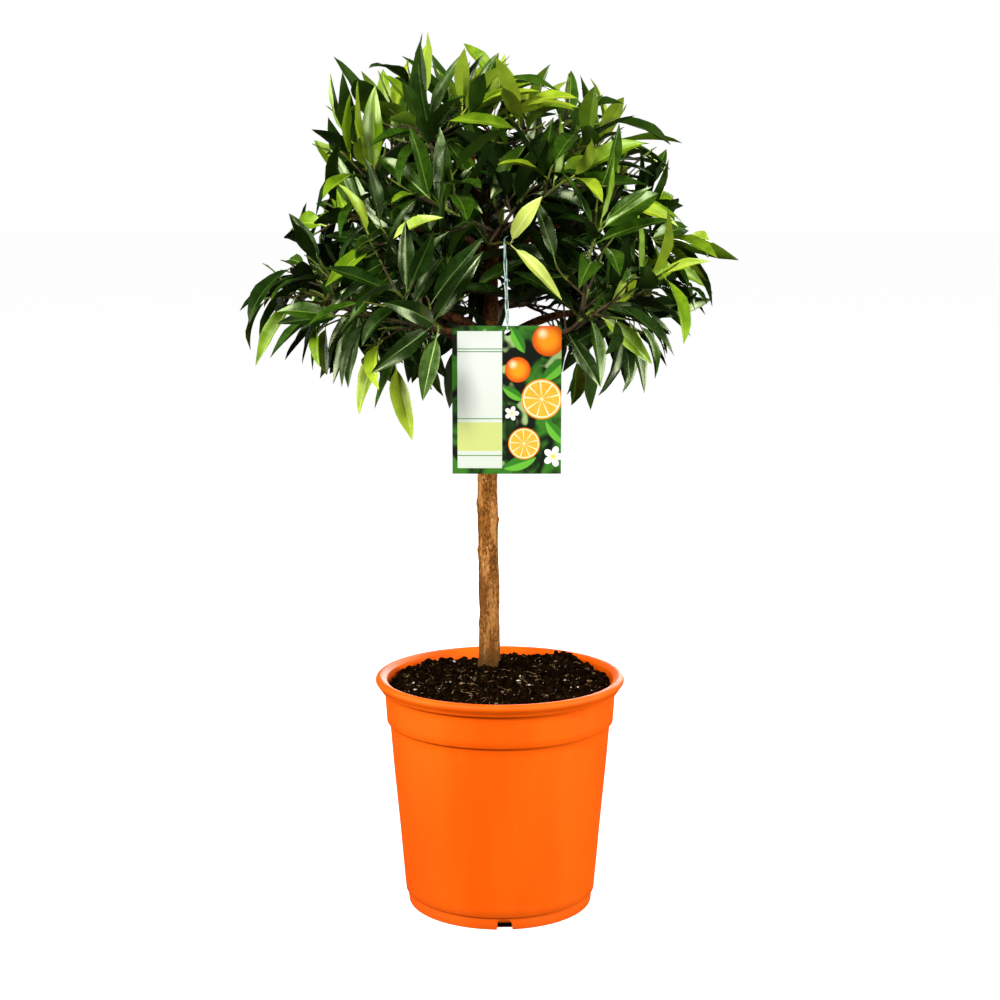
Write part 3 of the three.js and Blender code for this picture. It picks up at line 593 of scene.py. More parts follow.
def blade_finish(name, dark, bright, gloss, shine=0.9):
    """One face of a leaf: soft mottling, fine side veins and a waxy gloss that varies a little."""
    f = Finish(name, specular_ior_level=shine, specular_tint=(0.84, 1.0, 0.5, 1))
    mottle = f.noise(15, 4, rough=0.6)
    veins = f.cells(5.5, "DISTANCE_TO_EDGE").rise(0.1, 0)
    colour = f.blend(mottle.rise(0.3, 0.7), dark, bright)
    colour = f.blend(veins * 0.22, colour, bright)
    height = f.noise(9, 2) + 0.04 * veins
    rough = mottle.rise(0.25, 0.75, gloss - 0.04, gloss + 0.08)
    return f.done(base_color=colour, roughness=rough, normal=f.bump(height, 0.2))


# The tints of leaves: the upper face's dark and bright green, the lower face, the midrib, and how rough
# the upper face is. The darkest tint is mostly painted shade: it goes to sprays inside and low in the
# crown and on each shoot's first side twig, and also to the hindmost leaves of some sprays. The last tint
# is only for the two leaves by the label.
TINTS = {
    "deep": Sizes(
        dark=(0.004, 0.015, 0.001), bright=(0.011, 0.036, 0.002), under=(0.008, 0.023, 0.002),
        rib=(0.060, 0.120, 0.012), gloss=0.25,
    ),
    "green": Sizes(
        dark=(0.013, 0.043, 0.002), bright=(0.038, 0.098, 0.003), under=(0.024, 0.062, 0.004),
        rib=(0.150, 0.250, 0.022), gloss=0.26,
    ),
    "fresh": Sizes(
        dark=(0.098, 0.198, 0.004), bright=(0.200, 0.335, 0.006), under=(0.105, 0.190, 0.009),
        rib=(0.360, 0.480, 0.038), gloss=0.31,
    ),
    "young": Sizes(
        dark=(0.230, 0.350, 0.009), bright=(0.370, 0.500, 0.018), under=(0.240, 0.340, 0.018),
        rib=(0.570, 0.640, 0.065), gloss=0.36,
    ),
    "palest": Sizes(
        dark=(0.430, 0.530, 0.070), bright=(0.570, 0.650, 0.120), under=(0.420, 0.500, 0.075),
        rib=(0.740, 0.760, 0.220), gloss=0.40,
    ),
}
GROWN_TINTS = ("deep", "green", "fresh", "young")


def leaf_finishes(name):
    tint = TINTS[name]
    under_dark = tuple(c * 0.7 for c in tint.under)
    rib_dark = tuple(c * 0.85 for c in tint.rib)
    return [
        blade_finish(f"leaf_{name}_top", tint.dark, tint.bright, tint.gloss),
        blade_finish(f"leaf_{name}_under", under_dark, tint.under, tint.gloss + 0.22, 0.25),
        blade_finish(f"leaf_{name}_rib", rib_dark, tint.rib, tint.gloss + 0.1),
    ]


def print_finish():
    """The front of the label: citrus slices, blossom and leaves beside a plain pale panel."""
    f = Finish("label_print", specular_ior_level=0.12)
    across = (f.x - LABEL.left) / LABEL.width
    down = (LABEL.top - f.z) / LABEL.width
    blur = f.noise(26, 2, warp=0.8)
    colour = f.blend(blur.rise(0.42, 0.62), (0.003, 0.006, 0.002), (0.035, 0.16, 0.012))
    colour = f.blend(f.noise(17, 1).rise(0.64, 0.72) * 0.7, colour, (0.42, 0.58, 0.22))

    def spot(x, y):
        """Distance and direction from a place on the card."""
        right, below = across - x, down - y
        return (right * right + below * below) ** 0.5, below.maths("ARCTAN2", right)

    def disc(away, radius, soft=0.008):
        return away.rise(radius, radius - soft)

    def between(value, low, high):
        return value.rise(low, low + LABEL_PANEL.soft) * value.rise(high, high - LABEL_PANEL.soft)

    def leaf(x, y, size, turn):
        """A pointed leaf, where two discs cross, and the shade from one half to the other."""
        aside = Vector((math.cos(turn), -math.sin(turn))) * size * 0.72
        one, _ = spot(x + aside.x, y + aside.y)
        other, _ = spot(x - aside.x, y - aside.y)
        return disc(one, size) * disc(other, size), (one - other).rise(-0.01, 0.01)

    for x, y, size, turn in LABEL_LEAVES:
        mask, half = leaf(x, y, size, turn)
        colour = f.blend(mask, colour, f.blend(half, (0.03, 0.17, 0.012), (0.12, 0.40, 0.03)))
    for x, y, radius in LABEL_FRUITS:
        away, _ = spot(x, y)
        lit, _ = spot(x - radius * 0.35, y - radius * 0.4)
        skin = f.blend(away.rise(radius * 0.3, radius), (1.0, 0.30, 0.008), (0.62, 0.075, 0.002))
        skin = f.blend(lit.rise(radius * 0.45, 0) * 0.8, skin, (1.0, 0.80, 0.45))
        colour = f.blend(disc(away, radius), colour, skin)
    for x, y, radius in LABEL_SLICES:
        away, turn = spot(x, y)
        wedge = abs((turn * (9 / (2 * math.pi)) + 0.35).maths("FRACT") - 0.5)
        flesh = f.blend(f.noise(2.2, 2), (1.0, 0.27, 0.01), (1.0, 0.50, 0.06))
        rind = away.rise(radius * 0.83, radius * 0.86)
        pith = wedge.rise(0.43, 0.46).most(rind).most(away.rise(radius * 0.12, 0))
        inside = f.blend(pith, flesh, (0.95, 0.82, 0.50))
        slice_colour = f.blend(disc(away, radius * 0.93), (0.95, 0.22, 0.01), inside)
        colour = f.blend(disc(away, radius), colour, slice_colour)
    for x, y, radius in LABEL_BLOSSOMS:
        away, turn = spot(x, y)
        petal = abs((turn * 2.5).maths("COSINE")) * (radius * 0.5) + radius * 0.5
        white = f.blend(away.rise(0, radius), (0.62, 0.66, 0.50), (0.92, 0.92, 0.88))
        colour = f.blend((away - petal).rise(0, -0.006), colour, white)
        colour = f.blend(disc(away, radius * 0.22), colour, (0.95, 0.60, 0.03))
    panel = between(across, LABEL_PANEL.left, LABEL_PANEL.right)
    panel = panel * between(down, LABEL_PANEL.top, LABEL_PANEL.foot)
    pale = f.blend(down.rise(0, 1.2), (0.66, 0.69, 0.63), (0.58, 0.62, 0.53))
    colour = f.blend(panel, colour, pale)
    colour = f.blend(panel * between(down, *LABEL_BAND), colour, (0.52, 0.57, 0.18))
    for line in LABEL_LINES:
        colour = f.blend(panel * abs(down - line).rise(0.006, 0.003), colour, (0.09, 0.24, 0.06))
    return f.done(base_color=colour, roughness=f.noise(20, 2).rise(0, 1, 0.6, 0.75))


def card_finish():
    f = Finish("label_card_back", specular_ior_level=0.2)
    mottle = f.noise(4, 4)
    colour = f.blend(mottle, (0.70, 0.71, 0.66), (0.80, 0.81, 0.77))
    return f.done(base_color=colour, roughness=mottle.rise(0, 1, 0.6, 0.75), normal=f.bump(mottle, 0.05))


def string_finish(name, low, high):
    f = Finish(name, specular_ior_level=0.6)
    twine = f.noise(1.2, 3, f.stretched(1, 1, 0.5))
    colour = f.blend(twine.rise(0.35, 0.65), low, high)
    return f.done(base_color=colour, roughness=twine.rise(0, 1, 0.3, 0.5), normal=f.bump(twine, 0.1))


# The limbs, as the source grows them


class Limb:
    """A tapering limb: a curve from foot to tip, and a radius for each share of it."""

    def __init__(self, point, radius_at):
        self.point = point
        self.radius_at = radius_at

    def points(self, shares):
        return np.array([self.point(share) for share in shares])

    def radii(self, shares):
        return np.array([self.radius_at(share) for share in shares])

    def heading(self, share):
        return unit(self.point(min(share + 1e-4, 1)) - self.point(max(share - 1e-4, 0)))

    def across(self, share):
        """Two directions across the limb at a share of it."""
        along = self.heading(share)
        side = unit(np.cross((0.2, 0.3, 1), along))
        return side, np.cross(side, along)

    def rings(self, steps):
        """Points along the limb, each with two directions across it that don't turn round it."""
        shares = np.linspace(0, 1, steps + 1)
        side = np.cross((0.2, 0.3, 1), self.heading(0))
        sides, others = [], []
        for share in shares:
            along = self.heading(share)
            side = unit(side - along * side.dot(along))
            sides.append(side)
            others.append(np.cross(side, along))
        return self.points(shares), np.array(sides), np.array(others)


def trunk_point(z):
    share = (z - TRUNK.foot) / (TRUNK.fork - TRUNK.foot)
    return vec(
        TRUNK.x + TRUNK.sway * math.sin(share * 7.5 + 0.6),
        TRUNK.y + TRUNK.sway * math.cos(share * 5.2),
        z,
    )


def trunk_radius_at(share):
    rise = share * (TRUNK.fork - TRUNK.foot)
    swell = 0.22 * math.sin(share * 31) + 0.12 * math.sin(share * 57 + 1)
    flare = TRUNK.flare * math.exp(-rise / TRUNK.flare_height)
    return mix(TRUNK.foot_radius, TRUNK.fork_radius, share) + flare + swell


def leader_point(z):
    share = (z - TRUNK.fork) / (LEADER.top - TRUNK.fork)
    foot = trunk_point(TRUNK.fork)
    return vec(
        foot[0] + LEADER.set_off + LEADER.lean_x * share + LEADER.sway_x * math.sin(share * 5),
        foot[1] + LEADER.lean_y * share + LEADER.sway_y * math.sin(share * 4),
        z,
    )


trunk_limb = Limb(lambda s: trunk_point(mix(TRUNK.foot, TRUNK.fork, s)), trunk_radius_at)
leader_limb = Limb(
    lambda s: leader_point(mix(TRUNK.fork - LEADER.sunk, LEADER.top, s)),
    lambda s: mix(LEADER.foot_radius, LEADER.tip_radius, s),
)


def lean_at(z):
    heights, leans = zip(*DOME_LEAN)
    return float(np.interp(z, heights, leans))


def bough_limb(tier, foot, centre, out):
    span = unit(centre - foot)
    tip = centre - span * TIP_SHORT
    length = np.linalg.norm(tip - foot)
    start = foot + out * (length * 0.3) + vec(0, 0, length * tier.rise)
    end = tip - out * (length * 0.28)
    return Limb(bezier(foot, start, end, tip), lambda s: mix(tier.foot_radius, tier.tip_radius, s))


def stem_limb(mass):
    """The stem of a mass grows on from its bough's tip."""
    along = mass.bough.heading(1)
    start = mass.bough.point(1)
    end = mass.centre + mass.out * STEM.beyond
    length = np.linalg.norm(end - start)
    curve = bezier(start, start + along * (length * 0.35), end - mass.out * (length * 0.3), end)
    foot_radius = mass.bough.radius_at(1)
    stem = Limb(curve, lambda s: mix(foot_radius, STEM.tip_radius, s))
    stem.foot, stem.end = start, end
    return stem


def grow_masses():
    masses = []
    for tier in TIERS:
        for i, rank in enumerate(tier.order):
            random = seeded(tier.height * SEED_STEP.tier + i * SEED_STEP.mass)
            angle = tier.first_angle + 360 * i / tier.count + SCATTER.angle * (random() - 0.5)
            out = outward(math.radians(angle))
            reach = tier.reach * (1 + SCATTER.reach * (random() - 0.5))
            centre = vec(TRUNK.x, TRUNK.y, 0) + out * reach
            lean = lean_at(tier.height) * out[0] * reach
            centre[2] = tier.height + lean + SCATTER.height * (random() - 0.5)
            start = tier.start + tier.step * rank
            foot = trunk_point(start) if start < TRUNK.fork - 10 else leader_point(start)
            bough = bough_limb(tier, foot, centre, out)
            masses.append(Record(name=f"{tier.name}_{i + 1}", centre=centre, out=out, bough=bough))
    heart = leader_point(LEADER.top)
    heart[2] = HEART_HEIGHT
    masses.append(Record(name="leader", centre=heart, out=vec(0, 0, 1), bough=leader_limb))
    for mass in masses:
        mass.stem = stem_limb(mass)
    return masses


def dome_point(share):
    """The place at a share of the dome's area, and the direction straight out of it."""
    (r0, z0), (r1, z1) = np.array(DOME[:-1], float).T, np.array(DOME[1:], float).T
    length = np.hypot(r1 - r0, z1 - z0)
    area = length * (r0 + r1)
    ends = np.cumsum(area)
    left = share * ends[-1]
    i = int(np.searchsorted(ends, left))
    t = (left - ends[i] + area[i]) / area[i]
    out = vec((z1[i] - z0[i]) / length[i], (r0[i] - r1[i]) / length[i])
    return mix(r0[i], r1[i], t), mix(z0[i], z1[i], t), out


def shell_shoots(shell):
    shoots = []
    for i in range(shell.shoots):
        seed = shell.seed + i * SEED_STEP.shoot
        random = seeded(seed)
        radius, height, slope = dome_point((i + 0.5) / shell.shoots)
        out = outward(i * GOLDEN_ANGLE + SHOOT.turn_jitter * (random() - 0.5) + shell.seed)
        inset = shell.inset + SHOOT.inset_jitter * (random() * 2 - 1)
        tip = vec(TRUNK.x, TRUNK.y, 0) + out * max(radius - slope[0] * inset, 4)
        tip[2] = height - slope[1] * inset + lean_at(height) * (tip[0] - TRUNK.x)
        axis = out * slope[0] + vec(0, 0, slope[1] * 0.8 + 0.2)
        axis += vec(random() - 0.5, random() - 0.5, random() - 0.5) * SHOOT.axis_jitter
        inner = shell.inset > 0
        shoots.append(Record(tip=tip, axis=unit(axis), seed=seed, inner=inner, furthest=False))
    return shoots


def furthest_shoots():
    """The shoots of the foremost leaves, each about a leaf's length short of its leaf's tip."""
    shoots = []
    for i, (tip, axis) in enumerate(FURTHEST):
        direction = unit(vec(*axis))
        seed = FURTHEST_SPRAY.seed + i * SEED_STEP.shoot
        end = vec(*tip)
        start = end - direction * FURTHEST_SPRAY.last_leaf
        shoots.append(
            Record(tip=start, axis=direction, seed=seed, inner=False, furthest=True, end=end)
        )
    return shoots


def shoot_limb(mass, shoot, rank):
    """A shoot leaves the stem of its mass about 45 degrees short of its own tip."""
    stem = mass.stem
    length = np.linalg.norm(stem.end - stem.foot)
    axis = (stem.end - stem.foot) / length
    ahead = (shoot.tip - stem.foot).dot(axis)
    aside = np.linalg.norm(stem.foot + axis * ahead - shoot.tip)
    start = stem.point(float(np.clip((ahead - aside) / length, 0.1 + 0.4 * rank, 0.6 + 0.38 * rank)))
    reach = np.linalg.norm(shoot.tip - start)
    towards = (shoot.tip - start) / reach
    bend = shoot.tip - shoot.axis * (reach * 0.33)
    curve = bezier(start, start + towards * (reach * 0.3), bend, shoot.tip)
    limb = Limb(curve, lambda s: mix(SHOOT.foot_radius, SHOOT.tip_radius, s))
    limb.length = reach
    return limb


# Finer twigs and leaves


def side_twigs(limb, shoot):
    """Finer twigs on a shoot, turned on from each other by the golden angle."""
    random = seeded(shoot.seed * 3 + 11)
    twigs = []
    turn = 2 * math.pi * random()
    for start_share in SIDE_TWIG.starts:
        turn += GOLDEN_ANGLE
        share = start_share + 0.08 * (random() - 0.5)
        start = limb.point(share)
        side, other = limb.across(share)
        open_angle = math.radians(SIDE_TWIG.open * (0.8 + 0.4 * random()))
        away = side * math.sin(turn) + other * math.cos(turn)
        direction = limb.heading(share) * math.cos(open_angle) + away * math.sin(open_angle)
        length = SIDE_TWIG.length * (0.75 + 0.5 * random())
        end = start + direction * length + vec(0, 0, length * 0.12)
        bend = unit(direction + shoot.axis * 0.6 + vec(0, 0, 0.2))
        curve = bezier(start, start + direction * (length * 0.35), end - bend * (length * 0.3), end)
        twig = Limb(curve, lambda s: mix(SIDE_TWIG.foot_radius, SIDE_TWIG.tip_radius, s))
        twig.length = length
        twigs.append(twig)
    return twigs


class Leaf:
    """The lines of one leaf: its foot, its way, the side that it faces, and how it bends."""

    def __init__(self, foot, direction, up, length, random):
        self.foot = foot
        self.direction = direction
        self.side = unit(np.cross(up, direction))
        self.normal = np.cross(direction, self.side)
        self.length = length
        self.width = length * LEAF.ratio * (0.9 + 0.25 * random())
        level = math.hypot(direction[0], direction[1])
        self.arch = math.radians(LEAF.arch) * (0.2 + 1.1 * random()) * level
        self.sway = 0.35 * (random() - 0.5)
        self.twist = 0.9 * (random() - 0.5)
        self.fold = math.radians(LEAF.fold) * (0.5 + random())
        self.phase = 6.3 * random()

    def midrib(self, shares):
        """Points on the midrib, with the directions along, across and up at each."""
        t = np.asarray(shares, float)
        fine = np.linspace(0, 1, 25)
        bend = self.arch * fine**1.4
        turn = self.sway * np.sin(math.pi * fine)
        along = (
            np.cos(bend)[:, None] * self.direction
            - np.sin(bend)[:, None] * self.normal
            + turn[:, None] * self.side
        )
        along /= np.linalg.norm(along, axis=1)[:, None]
        steps = (along[1:] + along[:-1]) * (0.5 * self.length / (len(fine) - 1))
        path = np.vstack([self.foot, self.foot + np.cumsum(steps, axis=0)])
        at = np.column_stack([np.interp(t, fine, path[:, k]) for k in range(3)])
        way = np.column_stack([np.interp(t, fine, along[:, k]) for k in range(3)])
        across = self.side - way * (way @ self.side)[:, None]
        across /= np.linalg.norm(across, axis=1)[:, None]
        up = np.cross(way, across)
        spin = self.twist * t
        across, up = (
            across * np.cos(spin)[:, None] + up * np.sin(spin)[:, None],
            up * np.cos(spin)[:, None] - across * np.sin(spin)[:, None],
        )
        return at, way, across, up

    def samples(self):
        """Points spread over the blade, along its midrib and then its two halves."""
        at, _, across, up = self.midrib(LEAF_TESTS.shares)
        half = self.width * np.array(LEAF_TESTS.halves)[:, None]
        lift = up * half * 0.4
        return np.concatenate([at, at + across * half + lift, at - across * half + lift])


LEAF_ROW = 7
UPPER, LOWER, RIB = 0, 1, 2
# The finish of each face between a row's edge, middle, rib, rib, middle, edge and keel.
LEAF_ROW_SLOTS = (UPPER, UPPER, RIB, UPPER, UPPER, LOWER, LOWER)


def leaf_pattern():
    """Faces of a leaf and their slots: a stalk, a blade and two ends."""
    faces, slots = [], []
    for row in range(LEAF.stations - 1):
        for k in range(LEAF_ROW):
            a, b = row * LEAF_ROW + k, row * LEAF_ROW + (k + 1) % LEAF_ROW
            faces.append((a, b, b + LEAF_ROW, a + LEAF_ROW))
            slots.append(LEAF_ROW_SLOTS[k] if row else RIB)
    faces.append(tuple(reversed(range(LEAF_ROW))))
    faces.append(tuple((LEAF.stations - 1) * LEAF_ROW + k for k in range(LEAF_ROW)))
    return faces, slots + [RIB, UPPER]


LEAF_FACES, LEAF_SLOTS = leaf_pattern()
BLADE_SHARES = LEAF.petiole + (1 - LEAF.petiole) * np.linspace(0, 1, LEAF.stations - 1) ** 1.08
LEAF_SHARES = np.concatenate([[0], BLADE_SHARES])


def leaf_points(leaf):
    """The rows of a leaf from foot to tip: wavy edges turned up, a raised rib, and a keel below."""
    t = LEAF_SHARES
    at, _, across, up = leaf.midrib(t)
    blade = np.clip((t - LEAF.petiole) / (1 - LEAF.petiole), 0, 1)
    outline = blade**0.8 * (1 - blade) ** 1.06
    outline /= outline.max()
    half = leaf.width / 2 * outline + mix(LEAF.stalk, 0.08, t)
    rib = np.minimum(LEAF.rib * (1 - 0.8 * t) + 0.08, half * 0.6)
    lift = math.sin(leaf.fold)
    flat = math.cos(leaf.fold)
    rows = []
    for sign in (-1, 1):
        wave = LEAF.wave * outline * np.sin(15 * t + leaf.phase + sign)
        edge = at + across * (sign * half * flat)[:, None] + up * (half * lift + wave)[:, None]
        middle = at + across * (sign * (half + rib) * 0.5 * flat)[:, None]
        middle = middle + up * (half * (0.5 * lift + 0.09) + wave * 0.4)[:, None]
        inner = at + across * (sign * rib)[:, None] + up * (rib * lift)[:, None]
        rows.append((edge, middle, inner))
    depth = mix(LEAF.stalk, LEAF.thickness, np.minimum(t * 5, 1)) * (1 - 0.7 * t)
    keel = at - up * depth[:, None]
    (left, left_middle, left_rib), (right, right_middle, right_rib) = rows
    return np.stack([left, left_middle, left_rib, right_rib, right_middle, right, keel], axis=1)


class Growth:
    """What has grown so far, as points with a radius, so that new leaves keep clear of it."""

    def __init__(self):
        self.points = np.zeros((GROWTH.room, 3))
        self.radii = np.zeros(GROWTH.room)
        self.count = 0

    def add(self, points, radii):
        end = self.count + len(points)
        self.points[self.count:end] = points
        self.radii[self.count:end] = radii
        self.count = end

    def is_clear(self, points, clearance):
        low, high = points.min(0) - GROWTH.near, points.max(0) + GROWTH.near
        there = self.points[:self.count]
        near = np.all((there > low) & (there < high), axis=1)
        if not near.any():
            return True
        away = np.linalg.norm(points[:, None] - there[near][None], axis=2)
        return (away - self.radii[:self.count][near]).min() > clearance


def in_label_room(points):
    """Whether any point is in the room that the label swings through, or hides its string."""
    def between(value, low, high):
        return (value > low) & (value < high)

    x, y, z = points.T
    window = between(x, *WINDOW.x) & between(z, *WINDOW.z) & (y < WINDOW.y)
    x0, y0, z0 = LABEL.pivot
    reach = np.hypot(y - y0, z - z0)
    swing = np.degrees(np.arctan2(y - y0, z0 - z))
    swept = between(swing, -SWING.forward, SWING.back)
    near = z0 - LABEL.top - SWING.margin
    far = z0 - LABEL.top + LABEL.height + SWING.margin
    card = (np.abs(x - LABEL_MIDDLE) < LABEL.width / 2 + SWING.margin) & between(reach, near, far)
    loop = (np.abs(x - x0) < SWING.margin) & between(reach, SWING.from_pivot, far)
    return bool(np.any(swept & (card | loop) | window))


def dome_surface():
    """Points along the dome's outline, and the directions out of it."""
    places = [dome_point(share) for share in np.linspace(0, 1, DOME_STEPS)]
    return np.array([(r, z) for r, z, _ in places]), np.array([out for _, _, out in places])


DOME_LINE, DOME_OUT = dome_surface()


def out_of_dome(point):
    """How far a point stands out of the dome, and how steeply upwards the dome faces there."""
    x, y, z = point
    flat = vec(math.hypot(x - TRUNK.x, y - TRUNK.y), z - lean_at(z) * (x - TRUNK.x))
    nearest = int(np.argmin(np.linalg.norm(DOME_LINE - flat, axis=1)))
    out = DOME_OUT[nearest]
    return (flat - DOME_LINE[nearest]).dot(out), out[1]


def in_reach(points, shoot, draw, foremost):
    """Whether a leaf stays in the solids' box, in the crown's outline from the front, and by the dome."""
    low, high = np.array(cad_low) / MM - REACH.box, np.array(cad_high) / MM + REACH.box
    if np.any(points < low) or np.any(points > high):
        return False
    x, y, z = points.T
    _, eye_y, eye_z = CAMERA.place
    nearness = eye_y / (eye_y - y)
    seen_x, seen_z = x * nearness, eye_z + (z - eye_z) * nearness
    heights, left, right = np.array(SIDES, float).T
    beside = (seen_x < np.interp(seen_z, heights, left)) | (seen_x > np.interp(seen_z, heights, right))
    if np.any(beside) and not foremost:
        return False
    if np.any(np.hypot((seen_x - SKY.x) / SKY.half_width, (seen_z - SKY.z) / SKY.half_height) < 1):
        return False
    if shoot.furthest:
        return bool(np.all((points - shoot.end) @ shoot.axis < REACH.beyond))
    tip = points[len(LEAF_TESTS.shares) - 1]
    height, slope = out_of_dome(tip)
    allowed = mix(REACH.least, REACH.most, draw)
    return height < allowed + (REACH.standing * slope if slope > 0 else -REACH.hanging * slope)


def tint_of(spray, index, random):
    """Which tint a leaf has. In a young spray the leaves are darker the further they stand from the
    tip. In the others the two at the tip may be a tint brighter, and the hindmost a tint darker."""
    draw = random()
    # The first side twig of a shoot, nearest its foot, takes the darkest tint: painted shade.
    shaded_side_twig = spray.number == 1
    rank = 0 if shaded_side_twig else spray.shoot.rank
    if rank >= 2:
        rank = 3 - index // 3 + (draw < 0.2) - (rank == 2 and draw < 0.6)
    elif index <= 1:
        rank += draw < 0.5
    elif index >= 4:
        rank -= draw < 0.5
    return GROWN_TINTS[int(np.clip(rank, 0, 3))]


def spray_rank(shoot):
    """How bright the leaves of a shoot are, from 0: darkest inside the crown and low in it, which is
    painted shade, brighter near its top, which is painted light, and young and bright, 2 or 3, at a few
    places."""
    random = seeded(shoot.seed * 5 + 3)
    # Shoots inside the crown take the darkest tint: painted shade.
    if shoot.inner:
        return 0
    away = min(np.linalg.norm(shoot.tip - vec(*place)) for place in YOUNG_SPRAYS)
    if away < YOUNG_REACH:
        return 3 if random() < 0.6 else 2
    # Low shoots are darker and high ones brighter: painted shade and painted light.
    height = (shoot.tip[2] - BRIGHT_CROWN.foot) / BRIGHT_CROWN.depth
    return int(random() < 0.14 + 1.0 * height) + int(random() < 0.04 + 0.46 * height)


def try_leaf(spray, index, attempt, foremost, random):
    """One try at a leaf of a spray, with the room that it needs. The leaves are crowded to the tip
    of their twig, and the further back they stand, the wider they open."""
    twig = spray.twig
    back = (index / spray.leaves) ** 1.15 * SPRAY.leafy / twig.length
    share = max(1 - back * (0.9 + 0.2 * random()), 0.12)
    turn = spray.turn + index * GOLDEN_ANGLE + attempt * 1.1 + 0.5 * (random() - 0.5)
    opened = mix(SPRAY.open_first, SPRAY.open_last, (index / (spray.leaves - 1)) ** 0.7)
    high = clamped((twig.point(1)[2] - HIGH_CROWN.foot) / HIGH_CROWN.depth)
    opened = math.radians(opened * (0.85 + 0.3 * random()) * (1 - HIGH_CROWN.closing * high))
    if foremost:
        opened *= 0.3
    along = twig.heading(share)
    side, other = twig.across(share)
    away = side * math.sin(turn) + other * math.cos(turn)
    foot = twig.point(share) + away * (twig.radius_at(share) * 0.5)
    low = clamped((LOW_CROWN.top - foot[2]) / LOW_CROWN.depth)
    droop = vec(0, 0, SPRAY.droop * low * random())
    direction = unit(along * math.cos(opened) + away * math.sin(opened) - droop)
    size = mix(0.85, 1.0, min(index / 2, 1))
    size *= 1 + LEAF.spread * (random() * 2 - 1)
    size *= 1 - 0.02 * attempt
    if foremost:
        size = FURTHEST_SPRAY.size
    clearance = LEAF.clearance + LOW_CROWN.clearance * low
    if foremost or spray.shoot.inner:
        clearance = LEAF.inner_clearance
    outwards = unit(foot - CROWN_CENTRE)
    outwards[1] += math.copysign(LOW_CROWN.outwards * low, outwards[1])
    toss = vec(random() - 0.5, random() - 0.5, 0.35 + 0.5 * random()) * (1 - 0.5 * low)
    up = along * 0.6 + outwards * (0.4 + 0.6 * low) + toss
    return Leaf(foot, direction, up, LEAF.length * size, random), clearance


def grow_spray(spray, heaps, growth):
    """Sets leaves round a twig, each where one of its tries finds room."""
    seed = spray.shoot.seed + spray.number * SEED_STEP.twig
    spray.turn = seeded(seed)() * 2 * math.pi
    for index in range(spray.leaves):
        foremost = spray.shoot.furthest and spray.number == 0 and index == 0
        for attempt in range(SPRAY.tries):
            random = seeded(seed + index * SEED_STEP.leaf + attempt * SEED_STEP.attempt)
            leaf, clearance = try_leaf(spray, index, attempt, foremost, random)
            samples = leaf.samples()
            if in_label_room(samples) or not in_reach(samples, spray.shoot, random(), foremost):
                continue
            if growth.is_clear(samples, clearance):
                growth.add(samples, 0)
                heaps[tint_of(spray, index, random)].append(leaf)
                break


def label_hanger(mass):
    """The young twig that the label's loop hangs over, as a smooth line through four places."""
    pivot = vec(*LABEL.pivot)
    places = [mass.stem.point(HANGER.start), pivot + HANGER.before, pivot, pivot + HANGER.beyond]
    lengths = [np.linalg.norm(b - a) for a, b in zip(places, places[1:])]
    knots = np.concatenate([[0], np.cumsum(lengths)])
    knots /= knots[-1]
    slopes = np.gradient(np.array(places), knots, axis=0)

    def point(s):
        i = min(int(np.searchsorted(knots, s, "right")) - 1, len(places) - 2)
        width = knots[i + 1] - knots[i]
        t = (s - knots[i]) / width
        near = places[i] * (2 * t**3 - 3 * t**2 + 1) + slopes[i] * width * (t**3 - 2 * t**2 + t)
        return near + places[i + 1] * (3 * t**2 - 2 * t**3) + slopes[i + 1] * width * (t**3 - t**2)

    return Limb(point, lambda s: mix(HANGER.radius + 0.4, HANGER.radius - 0.2, s))


def hanger_leaf(hanger, towards, length, breadth):
    """One of the two bright leaves at the end of the label's twig. Its length is its seed as well."""
    foot = hanger.point(HANGER.leaf_share)
    leaf = Leaf(foot, unit(vec(*towards)), vec(*HANGER.leaf_up), length, seeded(length))
    leaf.width = length * LEAF.ratio * breadth
    return leaf


def crown_sprays(masses):
    """Every leafy twig: each shoot, numbered 0, and then its side twigs, clear of the label's room."""
    shoots = furthest_shoots() + [shoot for shell in SHELLS for shoot in shell_shoots(shell)]
    centres = np.array([mass.centre for mass in masses])
    owners = [int(np.argmin(np.linalg.norm(centres - shoot.tip, axis=1))) for shoot in shoots]
    sprays = []
    for owner, mass in enumerate(masses):
        own = [shoot for shoot, who in zip(shoots, owners) if who == owner]
        for i, shoot in enumerate(own):
            limb = shoot_limb(mass, shoot, i / len(own))
            if in_label_room(limb.points(np.linspace(0.2, 1, 9))):
                continue
            shoot.rank = spray_rank(shoot)
            sprays.append(Record(twig=limb, shoot=shoot, leaves=SPRAY.leaves, number=0))
            for number, twig in enumerate(side_twigs(limb, shoot), 1):
                if not in_label_room(twig.points(np.linspace(0, 1, 6))):
                    side = Record(twig=twig, shoot=shoot, leaves=SPRAY.side_leaves, number=number)
                    sprays.append(side)
    return sprays


def grow_crown(masses):
    """Grows every twig, then every leaf. Returns the twigs, and the leaves by tint."""
    growth = Growth()
    limbs = [(trunk_limb, GROWTH.trunk_points), (leader_limb, GROWTH.leader_points)]
    limbs += [(mass.bough, GROWTH.bough_points) for mass in masses[:-1]]
    for limb, count in limbs:
        shares = np.linspace(0, 1, count)
        growth.add(limb.points(shares), limb.radii(shares))
    heaps = {tint: [] for tint in TINTS}
    hanger = label_hanger(next(mass for mass in masses if mass.name == HANGER.mass))
    for towards, length, breadth in HANGER_LEAVES:
        leaf = hanger_leaf(hanger, towards, length, breadth)
        growth.add(leaf.samples(), HANGER.leaf_room)
        heaps["palest"].append(leaf)
    sprays = crown_sprays(masses)
    for spray in sprays:
        growth.add(spray.twig.points(np.linspace(0.2, 0.8, GROWTH.twig_points)), 0)
    for spray in sorted(sprays, key=lambda spray: spray.number):
        grow_spray(spray, heaps, growth)
    return [mass.stem for mass in masses] + [hanger] + [spray.twig for spray in sprays], heaps


# Meshes of the tree


